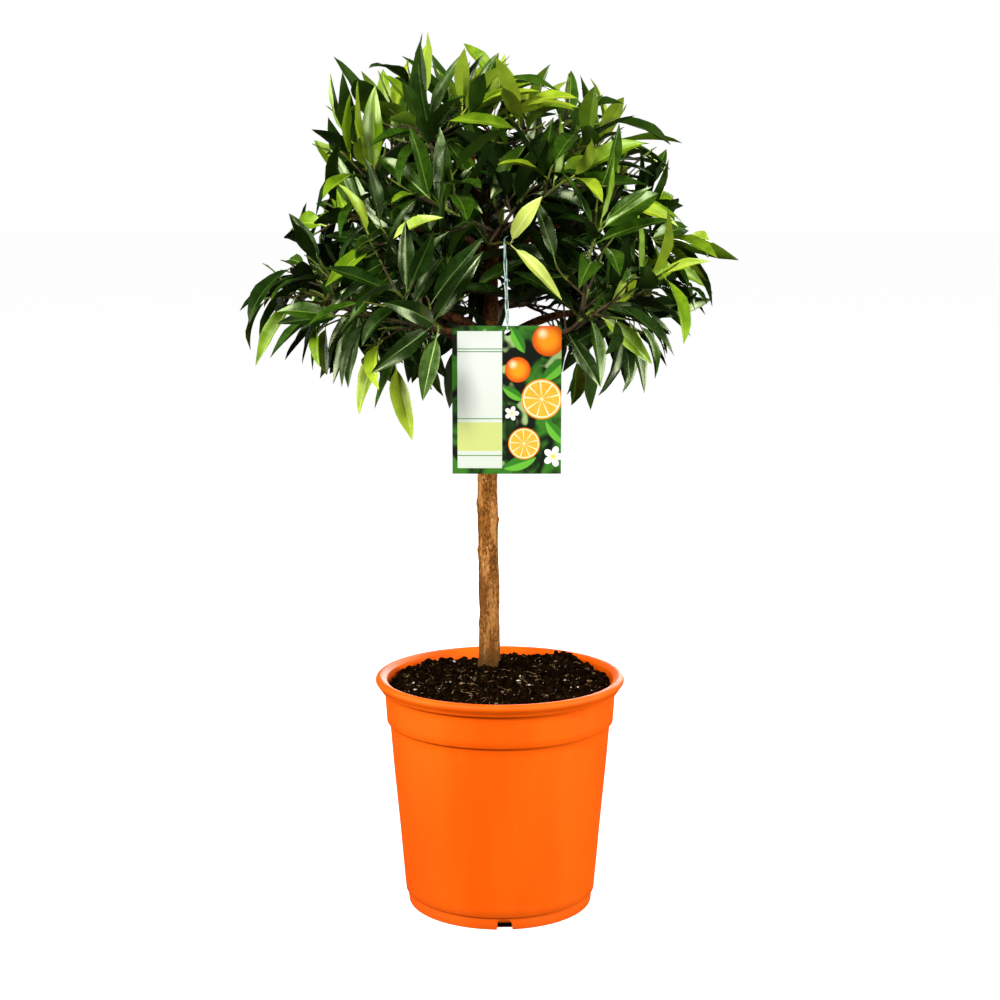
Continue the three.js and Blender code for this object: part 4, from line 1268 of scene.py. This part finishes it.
def make_twigs(twigs):
    """Slim twigs with soft knots, brown at the foot and green where the leaves stand."""
    heap = Heap()
    rows, sides = TWIG_MESH.rows, TWIG_MESH.sides
    faces = tube_pattern(rows, sides)
    brown = TWIG_MESH.brown_rows * sides
    slots = [0] * brown + [1] * (rows * sides - brown) + [0, 1]
    shares = np.linspace(0, 1, rows + 1)
    for twig in twigs:
        at, side, other = twig.rings(rows)
        radius = twig.radii(shares) * (1 + 0.14 * np.sin(shares * 23 + at[0, 0]))
        radius[-1] *= 0.5
        heap.add(at[:, None] + radius[:, None, None] * spokes(side, other, sides), faces, slots)
    old = twig_finish("old_twig", (0.018, 0.012, 0.005), (0.070, 0.046, 0.017), 0.7)
    green = twig_finish("green_twig", (0.07, 0.11, 0.010), (0.20, 0.26, 0.03), 0.5)
    return heap.piece("twigs", [old, green])


def make_leaves(tint, leaves):
    heap = Heap()
    for leaf in leaves:
        heap.add(leaf_points(leaf), LEAF_FACES, LEAF_SLOTS)
    return heap.piece(f"leaves_{tint}", leaf_finishes(tint))


def skin_limb(bm, limb, sides, steps, relief):
    """Wraps a grid round a limb, moved in and out by its relief, and closes its seam and ends."""
    at, side, other = limb.rings(steps)
    made = bmesh.ops.create_grid(bm, x_segments=sides, y_segments=steps, size=0.5)["verts"]
    for vert in made:
        turn = (vert.co.x + 0.5) * 2 * math.pi
        ring = round((vert.co.y + 0.5) * steps)
        away = side[ring] * math.cos(turn) + other[ring] * math.sin(turn)
        radius = limb.radius_at(ring / steps)
        base = at[ring] + away * radius
        vert.co = base + away * relief(base, turn, ring / steps, radius)
    bmesh.ops.remove_doubles(bm, verts=made, dist=1e-4)
    rims = [edge for edge in bm.edges if edge.is_boundary]
    bmesh.ops.holes_fill(bm, edges=rims, sides=0)


def rough_bark(base, radius):
    """Shallow ridges that run along the limb, and soft swellings."""
    ridge = noise.noise(Vector((base[0] * 0.42, base[1] * 0.42, base[2] * 0.035)))
    fine = noise.noise(Vector((base[0] * 0.6, base[1] * 0.6, base[2] * 0.3 + 40)))
    swell = noise.noise(Vector((base[0] * 0.05, base[1] * 0.05, base[2] * 0.03 + 9)))
    return min(radius / 9, 1) * (0.28 * ridge + 0.34 * fine + 0.3 * swell)


def scar_relief(base):
    """The round welts of old leaf scars on the stem, each with a dent in its middle."""
    lift = 0
    for z, angle in SCARS:
        at = trunk_point(z) + outward(math.radians(angle)) * (TRUNK.foot_radius - 0.6)
        away = math.dist(base, at)
        lift += 1.4 * math.exp(-(away / 3.4) ** 2) - 0.9 * math.exp(-(away / 1.2) ** 2)
    return lift


def make_trunk():
    """The stem, with root flares at its foot, faint rings, and a top drawn in under the fork."""
    def relief(base, turn, share, radius):
        roots = 1.1 * math.exp(-share * 22) * max(math.sin(turn * 4 + 0.7), -0.4)
        rings = -0.45 * math.exp(-((share * 40) % 5.3 - 2) ** 2 * 9)
        top = -3.4 * max(share - 0.965, 0) / 0.035
        return rough_bark(base, radius) + scar_relief(base) + roots + rings * 0.6 + top

    bm = bmesh.new()
    skin_limb(bm, trunk_limb, *BARK_MESH.trunk, relief)
    bark = bark_finish(
        "tan_bark", ground=(0.31, 0.112, 0.017), light=(0.68, 0.31, 0.088), dark=(0.085, 0.024, 0.003),
        foot=(0.055, 0.021, 0.005),
    )
    return finished(bm, "trunk_bark", [bark])


def make_fruitlets(twigs):
    """Tiny unripe fruits, each on a stalk below the nearest twig."""
    heap = Heap()
    points, faces = ball_pattern(bmesh.ops.create_uvsphere, u_segments=10, v_segments=7)
    sides = FRUITLET.stalk_sides
    # A stalk runs downwards, so its faces go round the other way.
    stalk_faces = [face[::-1] for face in tube_pattern(len(FRUITLET.stalk_shares) - 1, sides)]
    angles = np.arange(sides) * 2 * math.pi / sides
    ring = np.column_stack([np.cos(angles), np.sin(angles), np.zeros(sides)])
    places = np.concatenate([twig.points(np.linspace(0.25, 0.9, 12)) for twig in twigs])
    for i, target in enumerate(FRUITLETS):
        foot = places[np.argmin(np.linalg.norm(places - target, axis=1))]
        lean = FRUITLET.lean * vec(math.sin(i * 2.4), math.cos(i * 2.4), 0)
        end = foot + lean - (0, 0, FRUITLET.stalk)
        line = [mix(foot, end, t) for t in FRUITLET.stalk_shares]
        heap.add(np.array([at + ring * r for at, r in zip(line, FRUITLET.stalk_radii)]), stalk_faces)
        radius = FRUITLET.radius * (0.85 + 0.25 * math.sin(i * 1.7))
        heap.add(points * (radius, radius, radius * 1.12) + end - (0, 0, radius), faces)
    skin = blade_finish("fruitlet_skin", (0.012, 0.034, 0.006), (0.045, 0.090, 0.014), 0.35)
    return heap.piece("green_fruitlets", [skin], 80)


def make_boughs(masses):
    """The leader and the boughs, each with a collar at its foot."""
    def relief(base, turn, share, radius):
        collar = 2.6 * math.exp(-share * 14)
        return rough_bark(base, radius) + collar

    bm = bmesh.new()
    skin_limb(bm, leader_limb, *BARK_MESH.leader, relief)
    for mass in masses[:-1]:
        skin_limb(bm, mass.bough, *BARK_MESH.bough, relief)
    bark = bark_finish(
        "brown_bark", ground=(0.19, 0.07, 0.024), light=(0.33, 0.15, 0.055), dark=(0.05, 0.018, 0.007)
    )
    return finished(bm, "bough_bark", [bark])


# The pot and its soil


def arc(cx, cz, radius, start, end, count):
    angles = np.radians(np.linspace(start, end, count))
    return [(cx + radius * math.cos(a), cz + radius * math.sin(a)) for a in angles]


def spun(profile, steps):
    """A closed turned shape: a profile from axis to axis, spun all the way round."""
    bm = bmesh.new()
    verts = [bm.verts.new((r, 0, z)) for r, z in profile]
    edges = [bm.edges.new(pair) for pair in zip(verts, verts[1:])]
    bmesh.ops.spin(
        bm, geom=verts + edges, cent=(0, 0, 0), axis=(0, 0, 1), angle=2 * math.pi, steps=steps,
        use_merge=True,
    )
    bmesh.ops.remove_doubles(bm, verts=bm.verts, dist=1e-4)
    bmesh.ops.recalc_face_normals(bm, faces=bm.faces)
    return bm


def pot_profile():
    """The pot's wall from the middle of its base, out, up, over the rolled lip and down inside."""
    top, wall = POT.top, POT.wall
    neck_top = top - POT.lip_depth
    inner, outer = POT.recess
    shoulder = POT.shoulder_height
    roll = POT.lip_radius - POT.roll_radius
    roll_height = top - POT.roll_radius
    outside = [
        (0, 0), (inner - 2, 0), (inner, 0.6), (inner + 1, POT.recess_depth),
        (outer - 1, POT.recess_depth), (outer, 0.6), (outer + 2, 0), (POT.foot_radius - 1.6, 0),
        (POT.foot_radius - 0.4, 0.5), (POT.foot_radius, 1.6), (POT.foot_radius + 0.9, POT.foot_height),
        (POT.body_radius - 0.6, POT.foot_height + 0.4), (POT.body_radius, POT.foot_height + 1.2),
        (mix(POT.body_radius, POT.shoulder_radius, 0.5), mix(POT.foot_height, shoulder, 0.5)),
        (POT.shoulder_radius, shoulder - 0.6), (POT.shoulder_radius + 0.4, shoulder + 0.4),
        (POT.neck_low_radius - 0.6, shoulder + 1), (POT.neck_low_radius, shoulder + 1.8),
        (POT.neck_top_radius, neck_top - 1), (POT.neck_top_radius + 0.6, neck_top + 0.2),
        (POT.lip_foot_radius - 1.2, neck_top + 0.5), (POT.lip_foot_radius - 0.3, neck_top + 0.6),
        (POT.lip_foot_radius, neck_top + 1.1), (POT.lip_foot_radius + 0.1, neck_top + 1.8),
        (mix(POT.lip_foot_radius, POT.lip_radius, 0.62), mix(neck_top, roll_height, 0.6)),
    ]
    lip = arc(roll, roll_height, POT.roll_radius, -12, 100, 14)
    inside = [
        (roll - 3.4, top - 1.0), (POT.neck_top_radius - wall - 0.2, top - 3.4),
        (POT.neck_top_radius - wall - 0.6, top - 8),
        (POT.neck_low_radius - wall, shoulder + 2.3), (POT.shoulder_radius - wall, shoulder - 0.5),
        (POT.body_radius - wall, POT.foot_height + 2), (POT.foot_radius - wall, POT.floor), (0, POT.floor),
    ]
    return outside + lip + inside


def divided(profile, longest):
    """The profile with its long stretches divided, so that the wall can be moved a little."""
    points = [profile[0]]
    for one, other in zip(profile, profile[1:]):
        pieces = max(1, math.ceil(math.dist(one, other) / longest))
        for i in range(1, pieces + 1):
            points.append(tuple(mix(a, b, i / pieces) for a, b in zip(one, other)))
    return points


def notch_cutter():
    """One wedge for each drain notch, wider at the foot."""
    bm = bmesh.new()
    for i in range(NOTCH.count):
        angle = math.radians(NOTCH.first_angle + 360 * i / NOTCH.count)
        wedge = bmesh.ops.create_cube(bm, size=1)["verts"]
        for vert in wedge:
            width = NOTCH.top_width if vert.co.z > 0 else NOTCH.foot_width
            vert.co.y *= width
            vert.co.z = NOTCH.height if vert.co.z > 0 else -1
            vert.co.x = NOTCH.end if vert.co.x > 0 else NOTCH.start
        bmesh.ops.rotate(bm, verts=wedge, cent=(0, 0, 0), matrix=Matrix.Rotation(angle, 3, "Z"))
    return finished(bm, "notch_cutter", [], 30)


def make_pot():
    """The pot, its wall a little uneven, as thin plastic is, and notched at the foot."""
    bm = spun(divided(pot_profile(), 9), POT.steps)
    for vert in bm.verts:
        x, y, z = vert.co
        if z > POT.foot_height + 4 and math.hypot(x, y) > POT.body_radius - 4:
            away = Vector((x, y, 0)).normalized()
            vert.co += away * 0.35 * noise.noise(Vector((x, y, z)) / 55)
    pot = finished(bm, "pot_shell", [pot_finish()], 38)
    cut(pot, notch_cutter())
    return pot


def soil_height(x, y):
    """The height of the soil: lumps, a mound at the stem, and heaps pushed up against the wall."""
    radius = math.hypot(x, y)
    fade = clamped((1 - radius / SOIL_EDGE) * 9)
    from_stem = math.hypot(x - TRUNK.x, y - TRUNK.y) / SOIL.mound_radius
    u, v = x / SOIL.lump_length, y / SOIL.lump_length
    lumps = math.sin(u + 1.1) * math.cos(v - 0.4) + 0.6 * math.sin(2.1 * u + 1.7 * v)
    mound = SOIL.mound_height * math.exp(-from_stem**2)
    clods = 2.6 * noise.noise(Vector((x / 9, y / 9, 3)))
    clods += 1.7 * noise.noise(Vector((x / 3.6, y / 3.6, 8)))
    crumbs = 1.0 * noise.noise(Vector((x / 1.7, y / 1.7, 15)))
    heap = 0
    for turn, height, spread in HEAPS:
        away = abs((math.degrees(math.atan2(y, x)) - turn + 180) % 360 - 180) / spread
        heap += height * math.exp(-away**2 - ((radius - HEAP_RING.radius) / HEAP_RING.width) ** 2)
    uneven = SOIL.crown + SOIL.lump_height * lumps + clods + crumbs + heap
    return SOIL.edge_height + fade * uneven + mound


def make_soil():
    """The soil fills the pot, and its top is a fine grid of rings, raised to the soil's height."""
    slack = POT.wall + SOIL.slack
    side = [
        (0, POT.floor + 0.3), (POT.foot_radius - slack, POT.floor + 0.3),
        (POT.body_radius - slack, POT.foot_height + 3),
        (POT.shoulder_radius - slack, POT.shoulder_height - 0.5),
        (SOIL_EDGE, POT.shoulder_height + 3.5), (SOIL_EDGE, SOIL.edge_height),
    ]
    inwards = [1 - i / SOIL.rings for i in range(1, SOIL.rings + 1)]
    top = [(SOIL_EDGE * share, SOIL.edge_height + 1) for share in inwards]
    bm = spun(side + top, SOIL.steps)
    for vert in bm.verts:
        if vert.co.z > SOIL.edge_height + 0.5:
            vert.co.z = soil_height(vert.co.x, vert.co.y)
    return finished(bm, "soil_bed", [soil_finish()], 180)


def soil_spot(random):
    """A place on the soil, clear of the stem and of the pot's wall."""
    while True:
        radius = LOOSE_ROOM.radius * math.sqrt(random())
        turn = 2 * math.pi * random()
        x, y = radius * math.cos(turn), radius * math.sin(turn)
        if math.hypot(x - TRUNK.x, y - TRUNK.y) > LOOSE_ROOM.off_stem:
            return x, y


def stem_spot(random, near, far):
    """A place on the soil between two distances from the stem's axis."""
    radius = mix(near, far, random())
    turn = 2 * math.pi * random()
    return TRUNK.x + radius * math.cos(turn), TRUNK.y + radius * math.sin(turn)


def make_crumbs(name, loose, material):
    """Crumbs scattered on the soil, each a ball pushed out of round and partly sunk."""
    points, faces = ball_pattern(bmesh.ops.create_icosphere, subdivisions=1)
    random = seeded(loose.seed)
    heap = Heap()
    for i in range(loose.count):
        by_stem = i % STEM_HEAP.crumb_step == 0
        x, y = stem_spot(random, *STEM_HEAP.crumbs) if by_stem else soil_spot(random)
        size = mix(*loose.sizes, random() ** 2.5)
        length = 0.6 + 0.9 * random()
        width = 0.6 + 0.6 * random()
        height = loose.flatness * (0.7 + 0.6 * random())
        turn = 6.3 * random()
        dents = 1 + 0.3 * np.sin(points @ vec(4 * random(), 5 * random(), 4 * random()) * 3)
        lump = turned(points * dents[:, None] * vec(length, width, height) * size, turn)
        lift = size * loose.flatness * 0.25 + (STEM_HEAP.lift * random() if by_stem else 0)
        heap.add(lump + vec(x, y, soil_height(x, y) + lift), faces)
    return heap.piece(name, [material], 60)


def make_fibres(material):
    """Thin root fibres and needles of bark that lie on the soil."""
    random = seeded(FIBRES.seed)
    heap = Heap()
    faces = tube_pattern(FIBRES.steps, FIBRES.sides)
    angles = np.arange(FIBRES.sides) * 2 * math.pi / FIBRES.sides
    for i in range(FIBRES.count):
        by_stem = i % STEM_HEAP.fibre_step == 0
        x, y = stem_spot(random, *STEM_HEAP.fibres) if by_stem else soil_spot(random)
        turn = 6.3 * random()
        length = mix(*FIBRES.lengths, random() ** 1.5)
        way = vec(math.cos(turn), math.sin(turn), 0)
        aside = vec(-way[1], way[0], 0)
        bend = length * 0.25 * (random() - 0.5)
        line = []
        for share in np.linspace(0, 1, FIBRES.steps + 1):
            point = vec(x, y, 0) + way * length * share + aside * bend * math.sin(3 * share)
            point[:2] *= min(1, LOOSE_ROOM.fibre_radius / max(math.hypot(*point[:2]), 1))
            point[2] = soil_height(point[0], point[1]) + 0.5
            line.append(point)
        radius = mix(*FIBRES.radii, random())
        ring = [aside * math.cos(a) * radius + vec(0, 0, radius * math.sin(a)) for a in angles]
        heap.add(np.array(line)[:, None] + np.array(ring)[None], faces)
    return heap.piece("soil_fibres", [material])


# The label


def stand_up(bm, x, y, z):
    """Turns a flat shape upright, to face the front, and sets it in its place."""
    bmesh.ops.rotate(bm, verts=bm.verts, cent=(0, 0, 0), matrix=Matrix.Rotation(math.pi / 2, 3, "X"))
    bmesh.ops.translate(bm, verts=bm.verts, vec=(x, y, z))


def hole_punch():
    bm = bmesh.new()
    radius = LABEL.hole_radius
    bmesh.ops.create_cone(bm, segments=28, cap_ends=True, radius1=radius, radius2=radius, depth=10)
    stand_up(bm, LABEL.hole[0], LABEL.pivot[1], LABEL.hole[1])
    return finished(bm, "punch", [])


def make_card():
    """A thin card with a hole, bowed a little, printed on its front."""
    bm = bmesh.new()
    bmesh.ops.create_grid(bm, x_segments=20, y_segments=28, size=0.5)
    bmesh.ops.scale(bm, vec=(LABEL.width, LABEL.height, 1), verts=bm.verts)
    stand_up(bm, LABEL_MIDDLE, LABEL.pivot[1] - LABEL.thickness / 2, LABEL.top - LABEL.height / 2)
    bmesh.ops.solidify(bm, geom=bm.faces, thickness=LABEL.thickness)
    bmesh.ops.recalc_face_normals(bm, faces=bm.faces)
    card = finished(bm, "label_sheet", [card_finish(), print_finish()], 30)
    cut(card, hole_punch())
    for polygon in card.data.polygons:
        polygon.material_index = 1 if polygon.normal.y < -0.5 else 0
    for vert in card.data.vertices:
        across = (vert.co.x / MM - LABEL_MIDDLE) / (LABEL.width / 2)
        vert.co.y += LABEL.bow * (across**2 - 0.35) * MM
    return card


def loop_line(share, phase):
    """The loop of string: over the twig, down one strand, through the card's hole and up the other."""
    half = LOOP.half_width
    top_x, y, top_z = LABEL.pivot
    foot_z = LABEL.hole[1] + LABEL.hole_radius - LOOP.dip + half
    bend = math.pi * half
    drop = top_z - foot_z
    whole = 2 * (bend + drop)
    run = share * whole
    if run < bend:
        across, z = half * math.cos(run / half), top_z + half * math.sin(run / half)
    elif run < bend + drop:
        across, z = -half, top_z - (run - bend)
    elif run < 2 * bend + drop:
        turn = math.pi + (run - bend - drop) / half
        across, z = half * math.cos(turn), foot_z + half * math.sin(turn)
    else:
        across, z = half, foot_z + (run - 2 * bend - drop)
    rise = clamped((z - foot_z) / drop)
    twist = math.radians(LOOP.twist) * math.sin(math.pi * rise)
    across *= 1 - LOOP.narrowing * math.sin(math.pi * rise)
    x = mix(LABEL.hole[0], top_x, rise) + across * math.sin(twist)
    wind = share * 2 * math.pi * LOOP.turns + phase
    y += across * math.cos(twist)
    return vec(x + LOOP.apart * math.cos(wind), y + LOOP.apart * math.sin(wind), z)


def add_curl(heap, radius):
    """The loose end of the string, which curls up over the twig."""
    foot = vec(*LABEL.pivot) + LOOSE_END.foot
    curve = bezier(foot, *(foot + step for step in LOOSE_END.way))
    at, side, other = Limb(curve, lambda s: radius).rings(LOOSE_END.steps)
    tube = at[:, None] + radius * spokes(side, other, LOOP.sides)
    heap.add(tube, tube_pattern(LOOSE_END.steps, LOOP.sides))


def make_string(name, phase, radius, material):
    """One strand of the string, a closed tube that winds round its fellow."""
    heap = Heap()
    line = np.array([loop_line(i / LOOP.steps, phase) for i in range(LOOP.steps)])
    along = np.roll(line, -1, axis=0) - np.roll(line, 1, axis=0)
    along /= np.linalg.norm(along, axis=1)[:, None]
    side = np.cross(along, (1, 0, 0))
    side /= np.linalg.norm(side, axis=1)[:, None]
    tube = line[:, None] + radius * spokes(side, np.cross(side, along), LOOP.sides)
    heap.add(tube, tube_pattern(LOOP.steps, LOOP.sides, closed=True))
    if phase:
        add_curl(heap, radius)
    return heap.piece(name, [material])


# Camera, floor and light


def make_camera():
    data = bpy.data.cameras.new("camera")
    data.sensor_fit = "HORIZONTAL"
    data.sensor_width = 36
    data.lens = data.sensor_width * CAMERA.focal / CAMERA.frame
    data.clip_end = 500
    camera = bpy.data.objects.new("camera", data)
    camera.location = Vector(CAMERA.place) * MM
    camera.rotation_euler = (math.pi / 2 - CAMERA.pitch, 0, 0)
    bpy.context.scene.collection.objects.link(camera)
    bpy.context.scene.camera = camera


def floor_finish():
    f = Finish(
        "pale_floor", emission_color=(1, 1, 1, 1), emission_strength=FLOOR.glow, specular_ior_level=0.0
    )
    return f.done(base_color=f.blend(f.noise(400, 2), (0.50, 0.50, 0.50), (0.52, 0.52, 0.52)))


def make_floor():
    """A pale floor that lights and reflects in nothing that stands on it."""
    bm = bmesh.new()
    bmesh.ops.create_circle(bm, cap_ends=True, segments=96, radius=FLOOR.radius)
    floor = finished(bm, "floor", [floor_finish()])
    floor.visible_diffuse = False
    floor.visible_glossy = False


def make_light(name, place, aim, size, power):
    data = bpy.data.lights.new(name, "AREA")
    data.shape = "RECTANGLE"
    data.size, data.size_y = size
    data.energy = power
    light = bpy.data.objects.new(name, data)
    light.location = place
    light.rotation_euler = (Vector(aim) - Vector(place)).to_track_quat("-Z", "Y").to_euler()
    bpy.context.scene.collection.objects.link(light)


def make_world():
    """A plain white backdrop for the camera, and a dimmer even light for everything else."""
    world = bpy.data.worlds.new("studio")
    world.use_nodes = True
    nodes, links = world.node_tree.nodes, world.node_tree.links
    ray = nodes.new("ShaderNodeLightPath")
    level = nodes.new("ShaderNodeMapRange")
    level.inputs["To Min"].default_value = AMBIENT
    links.new(ray.outputs["Is Camera Ray"], level.inputs["Value"])
    links.new(level.outputs[0], nodes["Background"].inputs["Strength"])
    nodes["Background"].inputs["Color"].default_value = (1, 1, 1, 1)
    bpy.context.scene.world = world


make_camera()
make_floor()
make_world()
for name, light in LIGHTS.items():
    make_light(name, *light)
bpy.context.scene.view_settings.view_transform = "Standard"

# Assembly


def place(piece, body, slot, *nodes):
    """Makes a piece ride on its body and stand for its nodes, which it hides. Its slot is not used."""
    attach(piece, body)
    if nodes:
        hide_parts(*nodes)


masses = grow_masses()
twigs, heaps = grow_crown(masses)
foliage_nodes = [f"foliage_{mass.name}" for mass in masses]
bough_nodes = [f"bough_{mass.name}" for mass in masses[:-1]]

place(make_pot(), "plant", "pot_plastic", "pot")
place(make_soil(), "plant", "soil", "soil")
place(make_crumbs("soil_crumbs", CRUMBS, soil_finish()), "plant", "soil")
chip = fleck_finish("bark_chip", (0.05, 0.025, 0.012), (0.24, 0.14, 0.07), 2)
place(make_crumbs("soil_chips", CHIPS, chip), "plant", "soil")
pale = fleck_finish("pale_grit", (0.42, 0.34, 0.24), (0.85, 0.80, 0.68), 2)
place(make_crumbs("soil_grit", GRIT, pale), "plant", "soil")
fibre = fleck_finish("root_fibre", (0.030, 0.015, 0.006), (0.26, 0.155, 0.060), 3)
place(make_fibres(fibre), "plant", "soil")
place(make_trunk(), "plant", "bark", "trunk")
place(make_boughs(masses), "plant", "young_bark", "leader", *bough_nodes)
place(make_twigs(twigs), "plant", "young_bark", *foliage_nodes)
place(make_fruitlets(twigs), "plant", "leaf")
for tint, leaves in heaps.items():
    place(make_leaves(tint, leaves), "plant", "leaf", *foliage_nodes)
place(make_card(), "label", "card", "label_card")
white = string_finish("string_white", (0.55, 0.66, 0.60), (0.80, 0.86, 0.80))
teal = string_finish("string_teal", (0.06, 0.26, 0.22), (0.20, 0.46, 0.38))
place(make_string("label_string_white", 0, LOOP.radius, white), "label", "string", "label_loop")
place(make_string("label_string_teal", math.pi, LOOP.radius * 0.7, teal), "label", "string", "label_loop")
